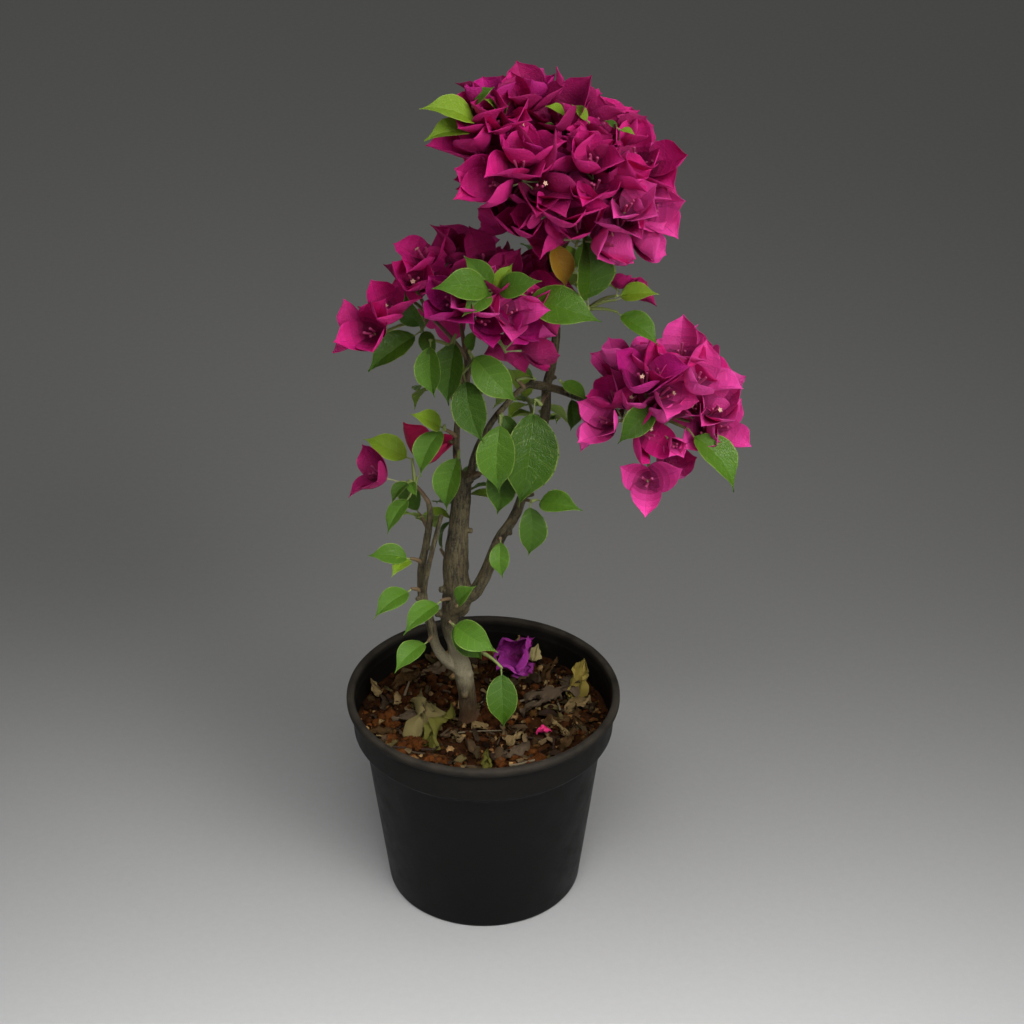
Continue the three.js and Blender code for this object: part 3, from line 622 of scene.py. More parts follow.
def solved(mesh, name, kinds):
    """The mesh after some modifiers, each given as its name, its type and its settings."""
    thing = bpy.data.objects.new(name, mesh)
    bpy.context.scene.collection.objects.link(thing)
    for label, kind, values in kinds:
        modifier = thing.modifiers.new(label, kind)
        for key, value in values.items():
            setattr(modifier, key, value)
    graph = bpy.context.evaluated_depsgraph_get()
    made = bpy.data.meshes.new_from_object(thing.evaluated_get(graph))
    bpy.data.objects.remove(thing)
    return made


def ring_body(shape, rings, ends, tone, inward=False):
    """A closed body of rings of corners, and a fan of faces from the first and the last ring to an end."""
    count, sides = len(rings), len(rings[0])
    i, j = np.meshgrid(np.arange(count - 1), np.arange(sides), indexing="ij")
    a, b = i * sides + j, i * sides + (j + 1) % sides
    order = [a, a + sides, b + sides, b] if inward else [a, b, b + sides, a + sides]
    walls = np.stack(order, -1).reshape(-1, 4)
    k = np.arange(sides)
    n = (k + 1) % sides
    last = (count - 1) * sides
    foot = np.stack([n, k, np.full(sides, count * sides)], -1)
    tip = np.stack([last + k, last + n, np.full(sides, count * sides + 1)], -1)
    if inward:
        foot, tip = foot[:, ::-1], tip[:, ::-1]
    shape.add(np.concatenate([*rings, ends]), [(walls, tone), (foot, tone), (tip, tone)])


def level_ring(radius, height, turns):
    """A level ring of corners round the middle line, at some angles."""
    return np.stack([radius * np.cos(turns), radius * np.sin(turns), np.full(len(turns), height)], -1)


def tube(shape, line, radii, sides, tone):
    """A closed round tube along a line of points, each ring turned as little as possible."""
    line = np.asarray(line, float)
    radii = np.broadcast_to(radii, len(line))
    tangents = np.gradient(line, axis=0)
    tangents /= np.linalg.norm(tangents, axis=1, keepdims=True)
    turns = np.arange(sides) / sides * 2 * math.pi
    across, _ = across_frame(tangents[0])
    rings = []
    for point, tangent, radius in zip(line, tangents, radii):
        across = unit(across - tangent * (across @ tangent))
        beside = np.cross(tangent, across)
        ring = np.outer(np.cos(turns), across) + np.outer(np.sin(turns), beside)
        rings.append(point + ring * radius)
    ends = [line[0] - tangents[0] * radii[0] * 0.4, line[-1] + tangents[-1] * radii[-1] * 0.4]
    ring_body(shape, rings, ends, tone)


def bow(start, end, lift, steps):
    """Points on a twig from start to end that bows upward."""
    middle = (start + end) / 2 + UP * lift * np.linalg.norm(end - start)
    t = np.linspace(0, 1, steps + 1)[:, None]
    return (1 - t) ** 2 * start + 2 * t * (1 - t) * middle + t ** 2 * end


# Blades: leaves and bracts

VEINED_TIP_ROWS = [0.87, 0.93, 0.97, 1.0]
PLAIN_ROWS = [0.1, 0.2, 0.3, 0.4, 0.5, 0.6, 0.69, 0.77, 0.84, 0.9, 0.95, 1.0]


class BladeForm:
    """The form of a leaf or a bract: its outline, its bend and the rows and columns of its mesh."""

    def __init__(
        self, width, root, tip, drawn, drawn_from, arch, fold, keel, crumple, tip_hook,
        veins, slant, columns, ragged=0,
    ):
        self.half_width = width / 2
        self.root, self.tip, self.drawn, self.drawn_from = root, tip, drawn, drawn_from
        self.arch, self.fold, self.keel, self.tip_hook = arch, fold, keel, tip_hook
        self.crumple, self.ragged = crumple, ragged
        rows, thin_rows, thin = [0.0, 0.035], [], 0.008
        for k in range(veins):
            middle = 0.1 + 0.7 * k / (veins - 1)
            thin_rows.append(len(rows))
            rows += [middle - thin, middle + thin]
            if k < veins - 1:
                rows.append(middle + 0.35 / (veins - 1))
        rows += VEINED_TIP_ROWS if veins else PLAIN_ROWS
        across = np.array([*(-c for c in reversed(columns)), *columns])
        self.share, self.across = np.meshgrid(rows, across, indexing="ij")
        self.along = self.share + slant * self.share * (1 - self.share) * np.abs(self.across)
        self.is_vein = np.zeros(len(rows) - 1, bool)
        self.is_vein[thin_rows] = True
        self.is_rib = np.abs(across[:-1] + across[1:]) < 1e-6
        self.is_margin = np.zeros(len(across) - 1, bool)
        self.is_margin[[0, -1]] = True
        self.groove = np.zeros(self.share.shape)
        for row in thin_rows:
            self.groove[row:row + 2] = 1 - np.abs(across)
        self.groove[:, np.abs(across) < columns[1]] = 1

    def width_at(self, along):
        """The share of the half width at a share of the length: round at the root, pointed at the tip."""
        widest = self.root / (self.root + self.tip)
        t = np.clip(along, 0, 1)
        full = widest ** self.root * (1 - widest) ** self.tip
        point = self.tip + self.drawn * smoothstep(t, self.drawn_from, 1)
        return np.maximum(t ** self.root * (1 - t) ** point / full, 0.012)

    def uneven(self, random):
        """Low waves of chance direction, from broad to fine, that lift the margins most."""
        lift = np.zeros(self.share.shape)
        for k in range(6):
            turn, phase, beats = random() * math.pi, random() * 2 * math.pi, 0.8 * 1.5 ** k
            run = self.along * math.cos(turn) + 0.5 * self.across * math.sin(turn)
            lift += np.sin(2 * math.pi * beats * run + phase) / 1.35 ** k
        return self.crumple * lift * (0.35 + 0.65 * np.abs(self.across))


LEAF_FORM = BladeForm(
    width=0.56, root=0.68, tip=1.0, drawn=0.5, drawn_from=0.6, arch=0.09, fold=0.11, keel=1.6, crumple=0.013,
    tip_hook=0.08, veins=6, slant=0.75, columns=(0.02, 0.045, 0.3, 0.62, 0.95, 1.0),
)
WILTED_FORM = BladeForm(
    width=1.0, root=0.45, tip=0.42, drawn=0.3, drawn_from=0.8, arch=-0.06, fold=0.12, keel=2, crumple=0.12,
    tip_hook=0.15, veins=0, slant=0.3, columns=(0.02, 0.2, 0.38, 0.56, 0.72, 0.86, 1.0), ragged=0.17,
)
BRACT_FORM = BladeForm(
    width=0.77, root=0.55, tip=0.54, drawn=0.55, drawn_from=0.8, arch=-0.19, fold=0.3, keel=2, crumple=0.009,
    tip_hook=0.3, veins=0, slant=0.3, columns=(0.02, 0.27, 0.52, 0.76, 0.94, 1.0),
)


def blade_grid(form, root, direction, face, length, random, broad=1.0):
    """The corners of a bent blade, as rows from its root to its tip, broader or narrower than its form."""
    normal = unit(face - direction * (face @ direction))
    side = np.cross(normal, direction)
    t, a = form.along, form.across
    half = form.half_width * form.width_at(t) * broad
    if form.ragged:
        turn, beats, edge = random() * 6, between(random, 5, 9), np.sign(a)
        bite = np.sin(beats * t + turn + 1.7 * edge) + 0.6 * np.sin(2.7 * beats * t + 2 * turn - edge)
        half = half * (1 + form.ragged * bite)
    arch = form.arch * between(random, 0.7, 1.3)
    fold = form.fold * between(random, 0.6, 1.3)
    twist = between(random, -0.25, 0.25)
    lift = arch * 4 * t * (1 - t) + fold * np.abs(a) ** form.keel * half / form.half_width
    lift = lift + form.uneven(random)
    lift = lift - form.tip_hook * np.clip((t - 0.5) / 0.5, 0, 1) ** 2 * between(random, 0.3, 1.3)
    lift = lift - 0.008 * form.groove + twist * a * half * t
    sway = between(random, -0.04, 0.04) * 4 * t * (1 - t)
    offsets = (
        direction * (t * length)[..., None]
        + side * ((a * half + sway) * length)[..., None]
        + normal * (lift * length)[..., None]
    )
    return root + offsets


def blade_shell(shape, grid, thickness, front_tones, back_tones, places):
    """A thin closed blade: its front and its back share the rim."""
    rows, columns = grid.shape[:2]
    normal = np.cross(np.gradient(grid, axis=0), np.gradient(grid, axis=1))
    normal /= np.maximum(np.linalg.norm(normal, axis=2, keepdims=True), 1e-9)
    inner = (slice(1, -1), slice(1, -1))
    front = grid.copy()
    front[inner] += normal[inner] * thickness / 2
    back = (grid - normal * thickness / 2)[inner].reshape(-1, 3)
    index = np.arange(rows * columns).reshape(rows, columns)
    under = index.copy()
    under[inner] = rows * columns + np.arange(len(back)).reshape(rows - 2, columns - 2)

    def quads(grid_index):
        corners = (grid_index[:-1, :-1], grid_index[1:, :-1], grid_index[1:, 1:], grid_index[:-1, 1:])
        return np.stack(corners, -1).reshape(-1, 4)

    shape.add(
        np.concatenate([front.reshape(-1, 3), back]),
        [(quads(index), front_tones.ravel()), (quads(under)[:, ::-1], back_tones.ravel())],
        np.concatenate([places.reshape(-1, 2), places[inner].reshape(-1, 2)]),
    )


LEAF_PARTS = {"blade": 0, "vein": 1, "margin": 2, "back": 3}
LEAF_KINDS = ("green", "fresh", "deep", "mustard")
BRACT_PARTS = {
    "blade": 0, "vein": 1, "margin": 2, "back": 3, "throat": 4, "inner": 5, "lower": 6, "middle": 7, "tip": 8,
    "back foot": 9,
}
# Painted shade on a bract's inner face: rows that start below each share take that darker finish, darkest in
# the throat; rows beyond BRACT_TIP take a lighter finish as painted highlight, and the outer face below
# BRACT_BACK_FOOT a darker one as painted shade
BRACT_SHADE_STEPS = {"middle": 0.62, "lower": 0.45, "inner": 0.3, "throat": 0.16}
BRACT_TIP = 0.8
BRACT_BACK_FOOT = 0.35
BRACT_KINDS = ("magenta", "deep", "pink", "crimson", "violet", "faded")


def even_tones(form, tone):
    """The same finish for every face on one side of a blade."""
    rows, columns = form.share.shape
    return np.full((rows - 1, columns - 1), tone)


def leaf_tones(form, kind):
    """The finishes of a leaf's front and back faces."""
    front, back = even_tones(form, LEAF_PARTS["blade"]), even_tones(form, LEAF_PARTS["back"])
    front[:, form.is_margin] = LEAF_PARTS["margin"]
    front[form.is_vein] = LEAF_PARTS["vein"]
    front[:, form.is_rib] = back[:, form.is_rib] = LEAF_PARTS["vein"]
    first = LEAF_KINDS.index(kind) * len(LEAF_PARTS)
    return front + first, back + first


def bract_tones(form, kind):
    """The finishes of a bract's inner and outer faces: painted shade that darkens them toward the throat and
    at the outer face's foot, a painted highlight at the margin and the tip, and darker along the middle rib.
    """
    front, back = even_tones(form, BRACT_PARTS["blade"]), even_tones(form, BRACT_PARTS["back"])
    # The margin takes a lighter finish as painted highlight
    front[:, form.is_margin] = BRACT_PARTS["margin"]
    row_starts = form.share[:-1, 0]
    front[row_starts > BRACT_TIP] = BRACT_PARTS["tip"]
    for part, end in BRACT_SHADE_STEPS.items():
        front[row_starts < end] = BRACT_PARTS[part]
    back[row_starts < BRACT_BACK_FOOT] = BRACT_PARTS["back foot"]
    front[:, form.is_rib] = BRACT_PARTS["vein"]
    first = BRACT_KINDS.index(kind) * len(BRACT_PARTS)
    return front + first, back + first


def pattern_places(form):
    """Where each corner of a blade lies in the vein pattern: across and along."""
    return np.stack([form.across * 0.5 + 0.5, form.along], -1)


# The stalk's share of a leaf's length
PETIOLE_SHARE = 0.13


def leaf(shape, twigs, one, thickness, random):
    """A leaf on its stalk."""
    root, direction, face, length, kind = one
    stalk_end = root + direction * length * PETIOLE_SHARE
    tube(twigs, bow(root, stalk_end + direction, 0.04, 3), [0.8, 0.6, 0.55, 0.5], 6, TWIG_GREEN)
    blade_length = length * (1 - PETIOLE_SHARE)
    grid = blade_grid(LEAF_FORM, stalk_end, direction, face, blade_length, random)
    blade_shell(shape, grid, thickness, *leaf_tones(LEAF_FORM, kind), pattern_places(LEAF_FORM))


# The growing rule, as in the part's source

TWIG_BROWN, TWIG_GREEN = range(2)
LIMB_MARKS = [limb_marks(name, LIMB_MARKS_PER_SPAN) for name in LIMBS]
MARK_POINTS = np.concatenate([points for points, _ in LIMB_MARKS])
MARK_RADII = np.concatenate([radii for _, radii in LIMB_MARKS])


def near_limb(point):
    """Whether a point comes too near to a limb."""
    return bool(np.any(np.linalg.norm(MARK_POINTS - point, axis=1) < MARK_RADII + LIMB_CLEARANCE))


def leaf_place(start, direction, length, kind):
    """Where a leaf grows and how it faces: up, and away from the plant's middle line."""
    root = start - direction * LEAF_ROOT
    outward = unit(np.array([root[0] - PLANT_AXIS[0], root[1] - PLANT_AXIS[1], 0.0]))
    turn = LEAF_TURN * smoothstep(root[1], 12, -8)
    return root, direction, UP + outward * LEAF_OUTWARD - AHEAD * turn, length + LEAF_ROOT, kind


def flower_place(root, facing, size, spin, rank):
    """Where a flower grows: its stalk's foot, its facing, its bracts' length and its turn."""
    base = root + facing * PEDICEL_LENGTH
    across, beside = across_frame(facing)
    opening = math.radians(BRACT_OPENING)
    bracts = []
    for k in range(BRACTS_PER_FLOWER):
        turn = math.radians(spin + k * 360 / BRACTS_PER_FLOWER)
        radial = across * math.cos(turn) + beside * math.sin(turn)
        direction = facing * math.cos(opening) + radial * math.sin(opening)
        bracts.append((direction, facing - radial * BRACT_LEAN))
    return {
        "root": root, "facing": facing, "size": size, "base": base, "bracts": bracts,
        "heart": base + facing * FLOWER_HEART, "rank": rank,
    }


def quick_point(root, direction, face, length, form, t):
    """A point on the middle line of a blade."""
    normal = unit(face - direction * (face @ direction))
    return root + direction * t * length + normal * form.arch * 4 * t * (1 - t) * length


def grow(name, seed):
    """Grows a mass by the source's rule: its twigs, its leaves and its flowers, in the same order."""
    plan = MASSES[name]
    random = seeded(seed)
    start = limb_point(plan["limb"], plan["along"])
    hub = np.array(plan["hub"], float)

    def inside(point):
        return np.linalg.norm(point - hub) < plan["reach"] and not near_limb(point)

    grown = {"twigs": [(start, hub, STEM_FOOT_RADIUS, STEM_RADIUS, TWIG_BOW)], "leaves": [], "flowers": []}
    grown["inside"] = inside
    grown["ends"] = []
    for one in plan["sprays"]:
        end = np.array(one["end"], float) if one["end"] else hub
        origin = hub if one["end"] else start
        lift = TWIG_BOW * random() * 2
        if one["end"]:
            grown["twigs"].append((origin, end, STEM_RADIUS, TWIG_RADIUS, lift))
        line = bow(origin, end, lift, TWIG_STEPS)
        axis = unit(end - origin)
        for k, (heading, rise, length, *kind) in enumerate(one["leaves"]):
            root = end - axis * LEAF_ROOT * (k + 1)
            kind = kind[0] if kind else None
            grown["leaves"].append(leaf_place(root, aim(heading, rise), length, kind))
        phase = random() * 360
        count = one["flowers"]
        for k in range(count):
            tilt = math.acos(1 - k / count * (1 - math.cos(math.radians(FLOWER_SPREAD))))
            facing = tilted(axis, tilt, math.radians(phase + k * GOLDEN_ANGLE))
            size = BRACT_LENGTH * (1 + BRACT_LENGTH_SPREAD * (2 * random() - 1))
            spin = random() * 360 / BRACTS_PER_FLOWER
            root = end - axis * (PEDICEL_ROOT + PEDICEL_ROOT_STEP * k)
            flower = flower_place(root, facing, size, spin, k)
            checks = [
                quick_point(flower["base"], *bract, size, BRACT_FORM, t)
                for bract in flower["bracts"] for t in (0.5, 1)
            ]
            if all(inside(point) for point in checks):
                grown["flowers"].append(flower)
        if count:
            grown["ends"].append((end, axis))
        more = one["more"]
        for k in range(more):
            heading = phase + SMALL_LEAF_TURN + k * GOLDEN_ANGLE
            rise = SMALL_LEAF_RISE - SMALL_LEAF_DROOP * random()
            length = LEAF_LENGTH * (1 + SMALL_LEAF_SPREAD * (2 * random() - 1))
            root = line[round((SMALL_LEAF_FIRST + SMALL_LEAF_RUN * (k + 0.5) / more) * TWIG_STEPS)]
            place = leaf_place(root, aim(heading, rise), length, "fresh")
            if all(inside(place[0] + place[1] * place[3] * t) for t in (0.6, 1)):
                grown["leaves"].append(place)
    return grown


# Flowers that fill the heads: tries at each twig end, rise, lowest place below the end, and spread
FILL_TRIES = 60
FILL_RISE = 0.35
FILL_LOWEST = -8
FILL_SPREAD = 115


def fill_flowers(grown, seed):
    """More flowers round the same twig ends, smaller and turned by chance, for the finer picture."""
    random = seeded(seed)
    found = []
    for end, axis in grown["ends"]:
        for _ in range(FILL_TRIES):
            tilt = math.acos(1 - random() * (1 - math.cos(math.radians(FILL_SPREAD))))
            facing = unit(tilted(axis, tilt, random() * 2 * math.pi) + UP * FILL_RISE)
            size = BRACT_LENGTH * between(random, 0.8, 1.0)
            flower = flower_place(end - axis * between(random, 0, 6), facing, size, random() * 120, 9)
            checks = [flower["base"] + bract[0] * size * t for bract in flower["bracts"] for t in (0.6, 1)]
            low = flower["heart"][2] < end[2] + FILL_LOWEST
            if not low and all(grown["inside"](point) for point in checks):
                found.append(flower)
    return found


# How far each region's flowers turn up to the light, and the heights between which that grows
FLOWER_RISE = {"top": (0.62, 535, 565), "left": (0.5, 462, 485), "right": (0.5, 370, 410), "low": (0.6, 0, 1)}

# Share of the grown size that each region's flowers have
SIZE_BY_REGION = {"top": 0.97, "left": 0.95, "right": 0.97, "low": 0.86}

# Where a head's blossom ends, as pairs of x and height; a height counts SEEN_SLOPE of a depth with it,
# because the plant is seen from above
SEEN_SLOPE = 0.6
OUTLINE_SLACK = 5
CROWN_TOP = 645
HIGHEST = {
    "top": [
        (-31, 600), (-8, 653), (43, 656), (52, 642), (75, 636), (101, 630), (114, 614), (122, 598),
        (137, 576), (140, 400),
    ],
    "left": [(-98, 472), (-74, 474), (-66, 526), (-18, 540), (-14, 528), (60, 520)],
    "right": [
        (61, 300), (62, 408), (76, 410), (79, 450), (114, 452), (120, 470), (145, 466), (150, 452),
        (157, 446), (173, 432), (180, 418), (182, 300),
    ],
}
LOWEST = {
    "top": [
        (-31, 594), (-19, 592), (-17, 550), (-8, 550), (-6, 530), (14, 528), (16, 510), (40, 510), (42, 530),
        (84, 532), (88, 506), (140, 506),
    ],
    "left": [(-98, 444), (-58, 443), (-54, 465), (-36, 465), (-32, 448), (2, 446), (6, 420), (60, 420)],
    "right": [
        (60, 372), (94, 370), (97, 312), (128, 312), (128, 348), (145, 352), (148, 372), (186, 372),
    ],
}

# Gaps that the blossom leaves open: x, height as seen, and radius
CLEARINGS = [(102, 388, 16), (136, 382, 11), (-35, 500, 7), (-48, 463, 8)]

# Where a flower's bract tips are, ahead of its base and beside it, as shares of a bract's length
TIP_REACH = 0.84
TIP_SPREAD = 0.5


def turned(one, rise):
    """A flower's facing, risen to the light: most high on a head and on its front and back."""
    most, low, high = rise
    by_height = 0.25 + 0.75 * smoothstep(one["heart"][2], low, high)
    rise = most * by_height * (0.35 + 0.65 * abs(one["facing"][1]))
    return unit(one["facing"] * (1 - rise) + UP * rise)


def radials(one, facing):
    """The outward rays of a flower's bracts, square to its facing."""
    return [unit(direction - facing * (direction @ facing)) for direction, _ in one["bracts"]]


def region_of(name):
    """The region that a mass belongs to."""
    return next(region for region, names in REGIONS.items() if name in names)


def within_outline(one, region):
    """Whether a flower's bracts end inside its head's outline."""
    if region not in HIGHEST:
        return True
    facing = turned(one, FLOWER_RISE[region])
    reach, spread = TIP_REACH * one["size"], TIP_SPREAD * one["size"]
    tips = [one["base"] + facing * reach + radial * spread for radial in radials(one, facing)]
    for x, y, z in [one["heart"], *tips]:
        seen = z + SEEN_SLOPE * y
        if any(math.hypot(x - gap_x, seen - gap_seen) < radius for gap_x, gap_seen, radius in CLEARINGS):
            return False
    for x, y, z in tips:
        seen = z + SEEN_SLOPE * y
        highest = np.interp(x, *zip(*HIGHEST[region])) + OUTLINE_SLACK
        lowest = np.interp(x, *zip(*LOWEST[region])) - OUTLINE_SLACK
        if seen > highest or seen < lowest or z > CROWN_TOP:
            return False
    return True


def grow_all(spacing):
    """Grows every mass, and keeps the flowers that have room: the source's own first, then the fill."""
    names = list(MASSES)
    grown = {name: grow(name, SEED_STEP * (i + 1)) for i, name in enumerate(names)}
    hearts, kept = [], {name: [] for name in names}

    def take(name, flower, least):
        if not within_outline(flower, region_of(name)):
            return
        if all(np.linalg.norm(flower["heart"] - heart) >= least for heart in hearts):
            hearts.append(flower["heart"])
            kept[name].append(flower)

    for rank in range(5):
        for name in names:
            for flower in grown[name]["flowers"]:
                if flower["rank"] == rank:
                    take(name, flower, FLOWER_SPACING)
    for name in names:
        for flower in grown[name]["flowers"]:
            take(name, flower, spacing)
    for i, name in enumerate(names):
        if not name.startswith("head"):
            continue
        for flower in fill_flowers(grown[name], FILL_SEED + SEED_STEP * i):
            take(name, flower, spacing)
    for name in names:
        grown[name]["flowers"] = kept[name]
    return grown


# Finishes

class Finish:
    """A procedural material: its shader, and the nodes that drive it."""

    def __init__(self, name, colour, roughness):
        self.material = bpy.data.materials.new(name)
        self.material.use_nodes = True
        self.tree = self.material.node_tree
        self.shader = self.tree.nodes["Principled BSDF"]
        self.material.diffuse_color = (*colour, 1)
        self.set(Base_Color=(*colour, 1), Roughness=roughness)

    def plug(self, socket, value):
        """Sets an input to a value, or links it to the output that the value comes from."""
        if isinstance(value, bpy.types.NodeSocket):
            self.tree.links.new(value, socket)
        else:
            socket.default_value = value

    def fill(self, node, values):
        """Sets or links a node's inputs by their names."""
        for key, value in values.items():
            self.plug(node.inputs[key.replace("_", " ")], value)

    def set(self, **values):
        """Sets or links the shader's inputs."""
        self.fill(self.shader, values)

    def node(self, kind, options=None, **values):
        """Adds a node and gives its first output."""
        node = self.tree.nodes.new("ShaderNode" + kind)
        for key, value in (options or {}).items():
            setattr(node, key, value)
        self.fill(node, values)
        return node.outputs[0]

    def place(self, kind="Object"):
        """The place in the piece, in metres, or in its pattern."""
        return self.tree.nodes.new("ShaderNodeTexCoord").outputs[kind]

    def height(self, place):
        """How high a place lies, in metres."""
        return self.node("SeparateXYZ", Vector=place).node.outputs["Z"]

    def scaled(self, place, scale):
        """A place stretched by a share along each axis."""
        return self.node("Mapping", Vector=place, Scale=scale)

    def noise(self, place, scale, detail=4, roughness=0.6):
        """A cloudy pattern between 0 and 1."""
        return self.node("TexNoise", Vector=place, Scale=scale, Detail=detail, Roughness=roughness)

    def band(self, value, low, high, first=0, last=1):
        """A value spread from one range to another, and held at its ends."""
        return self.node(
            "MapRange", {"clamp": True}, Value=value, From_Min=low, From_Max=high, To_Min=first, To_Max=last,
        )

    def math(self, operation, first, second):
        """The result of a sum on two values."""
        node = self.tree.nodes.new("ShaderNodeMath")
        node.operation = operation
        self.plug(node.inputs[0], first)
        self.plug(node.inputs[1], second)
        return node.outputs[0]

    def blend(self, share, first, second):
        """A colour between two colours."""
        first, second = (c if isinstance(c, bpy.types.NodeSocket) else (*c, 1) for c in (first, second))
        return self.node("MixRGB", Fac=share, Color1=first, Color2=second)

    def bump(self, height, distance, strength=1.0):
        """Lets a pattern stand out of the surface by a distance in metres."""
        self.set(Normal=self.node("Bump", Height=height, Distance=distance, Strength=strength))


def shade(colour, brightness, grey=0.0, tint=None, share=0.0):
    """A colour made brighter or darker, then greyer, then nearer to a tint."""
    colour = np.array(colour[:3]) * brightness
    colour = colour * (1 - grey) + colour.mean() * grey
    if tint is not None:
        colour = colour * (1 - share) + np.array(tint[:3]) * share
    return tuple(float(c) for c in np.clip(colour, 0, 1))


# Pot

def rounded_profile(corners):
    """A profile of [radius, height] points with each corner rounded by its third number."""
    points = [corners[0][:2]]
    for before, corner, after in zip(corners, corners[1:], corners[2:]):
        here = np.array(corner[:2], float)
        rounding = corner[2]
        if not rounding:
            points.append(tuple(here))
            continue
        start = here + unit(np.array(before[:2]) - here) * rounding
        end = here + unit(np.array(after[:2]) - here) * rounding
        for t in np.linspace(0, 1, 6):
            points.append(tuple((1 - t) ** 2 * start + 2 * t * (1 - t) * here + t * t * end))
    return points + [corners[-1][:2]]


def lathe(shape, profile, sides, tone):
    """A closed turned body from a profile that starts and ends on the axis."""
    turns = np.arange(sides) / sides * 2 * math.pi
    rings = [level_ring(radius, height, turns) for radius, height in profile[1:-1]]
    ring_body(shape, rings, [[0, 0, profile[0][1]], [0, 0, profile[-1][1]]], tone)


def pot_finish():
    """Satin plastic, dusty on the lip and at the collar's foot, with fine scuffs."""
    values = settings().pot
    finish = Finish("Pot plastic", values.plastic, values.roughness)
    place = finish.place()
    height = finish.height(place)
    cloud = finish.noise(place, 55, 6, 0.65)
    fine = finish.noise(place, 420, 5, 0.7)
    lip = finish.band(height, *((POT_HEIGHT - depth) * MILLIMETRE for depth in LIP_DUST))
    lip = finish.math("MULTIPLY", lip, finish.band(cloud, 0.3, 0.62, 0.2, 0.8))
    below, above = COLLAR_DUST
    foot = (COLLAR_FOOT - below) * MILLIMETRE, (COLLAR_FOOT + above) * MILLIMETRE
    collar = finish.band(height, *foot, 0, 0.06)
    patches = finish.band(cloud, 0.56, 0.8, 0, 0.16)
    specks = finish.band(fine, 0.62, 0.75, 0, 0.16)
    dust = finish.math("MAXIMUM", lip, finish.math("MAXIMUM", finish.math("ADD", collar, patches), specks))
    scratch = finish.noise(finish.scaled(place, (60, 60, 900)), 1, 3, 0.6)
    scuffs = finish.band(scratch, 0.62, 0.72, 0, 0.22)
    colour = finish.blend(dust, values.plastic, values.dust)
    colour = finish.blend(scuffs, colour, shade(values.plastic, 2.6, 0.6))
    grain = finish.math("ADD", fine, finish.math("MULTIPLY", scratch, 0.5))
    worn = finish.band(cloud, 0.3, 0.7, values.roughness - 0.02, values.roughness + 0.13)
    rough = finish.math("ADD", finish.math("MULTIPLY", dust, 0.4), worn)
    finish.set(Base_Color=colour, Roughness=rough, Specular_IOR_Level=0.1)
    finish.bump(grain, 0.00025, 0.25)
    return finish.material


class BOUGAINVILLEA_OT_pot(bpy.types.Operator):
    """Builds the round nursery pot with its lip, its collar and its drain holes"""

    bl_idname = "bougainvillea.pot"
    bl_label = "Pot"

    def execute(self, context):
        profile = rounded_profile([
            (0, 0), (BASE_RADIUS, 0, 3), (BODY_RADIUS, BODY_TOP, 1.6), (COLLAR_RADIUS, COLLAR_FOOT, 1.6),
            (COLLAR_TOP_RADIUS, POT_HEIGHT - RIM_LIP_HEIGHT, 0.8),
            (RIM_RADIUS, POT_HEIGHT - RIM_LIP_HEIGHT + 1, 1), (RIM_RADIUS, POT_HEIGHT, 2.4),
            (RIM_INNER_RADIUS, POT_HEIGHT, 2.4), (RIM_INNER_RADIUS - 0.4, POT_HEIGHT - INNER_LEDGE + 1, 0),
            (RIM_INNER_RADIUS - 0.9, POT_HEIGHT - INNER_LEDGE, 0.4),
            (COLLAR_RADIUS - WALL, COLLAR_FOOT + 1, 0.6), (BODY_RADIUS - WALL, BODY_TOP + 1, 1.6),
            (BASE_RADIUS - WALL, FLOOR_THICKNESS, 2), (0, FLOOR_THICKNESS),
        ])
        shape = Shape()
        lathe(shape, profile, POT_SIDES, 0)
        walls = shape.mesh("pot_walls")
        drills = Shape()
        for k in range(DRAIN_HOLES):
            centre = aim(k * 360 / DRAIN_HOLES, 0) * DRAIN_RING_RADIUS
            ends = [centre - UP * DRILL_BELOW, centre + UP * DRILL_ABOVE]
            tube(drills, ends, DRAIN_HOLE_RADIUS, 32, 0)
        drill = bpy.data.objects.new("drills", drills.mesh("drills"))
        context.scene.collection.objects.link(drill)
        cut = {"operation": "DIFFERENCE", "object": drill, "solver": "EXACT"}
        mesh = solved(walls, "pot_cut", [("Drain holes", "BOOLEAN", cut)])
        bpy.data.objects.remove(drill)
        mesh.set_sharp_from_angle(angle=math.radians(50))
        put(mesh, "pot_shell", [pot_finish()], ["pot"])
        return {"FINISHED"}


# Soil and litter

# Radii round the trunk's foot within which the soil is level, and beyond which it is fully uneven
SOIL_LEVEL_REACH = (16, 32)
SOIL_WAVE = 1.6


def soil_height(x, y):
    """The height of the soil's surface: gently uneven, and level round the trunk's foot."""
    foot_x, foot_y = LIMBS["trunk"][1][:2]
    away = smoothstep(np.hypot(x - foot_x, y - foot_y), *SOIL_LEVEL_REACH)
    turn = 2 * math.pi
    waves = np.sin(turn * x / 57) * np.cos(turn * y / 48) + 0.6 * np.sin(turn * (x / 27 - y / 33)) - 0.6
    return SOIL_LEVEL + SOIL_WAVE * away * waves


def soil_point(x, y, lift=0.0):
    """A point on the soil, or a little above it."""
    return np.array([x, y, float(soil_height(x, y)) + lift])


def earth_finish(name, colour, variation, grain):
    """Dull crumbly matter with darker and lighter spots."""
    finish = Finish(name, colour, 0.95)
    place = finish.place()
    cloud = finish.noise(place, 130, 6, 0.7)
    spots = finish.noise(place, 900, 4, 0.7)
    dark, light = shade(colour, 0.45), shade(colour, 1.0 + variation)
    mixed = finish.blend(finish.band(cloud, 0.35, 0.68), dark, light)
    mixed = finish.blend(finish.band(spots, 0.6, 0.75, 0, 0.5), mixed, shade(colour, 2.1, 0.15))
    finish.set(Base_Color=mixed, Specular_IOR_Level=0.06)
    finish.bump(spots, grain)
    return finish.material


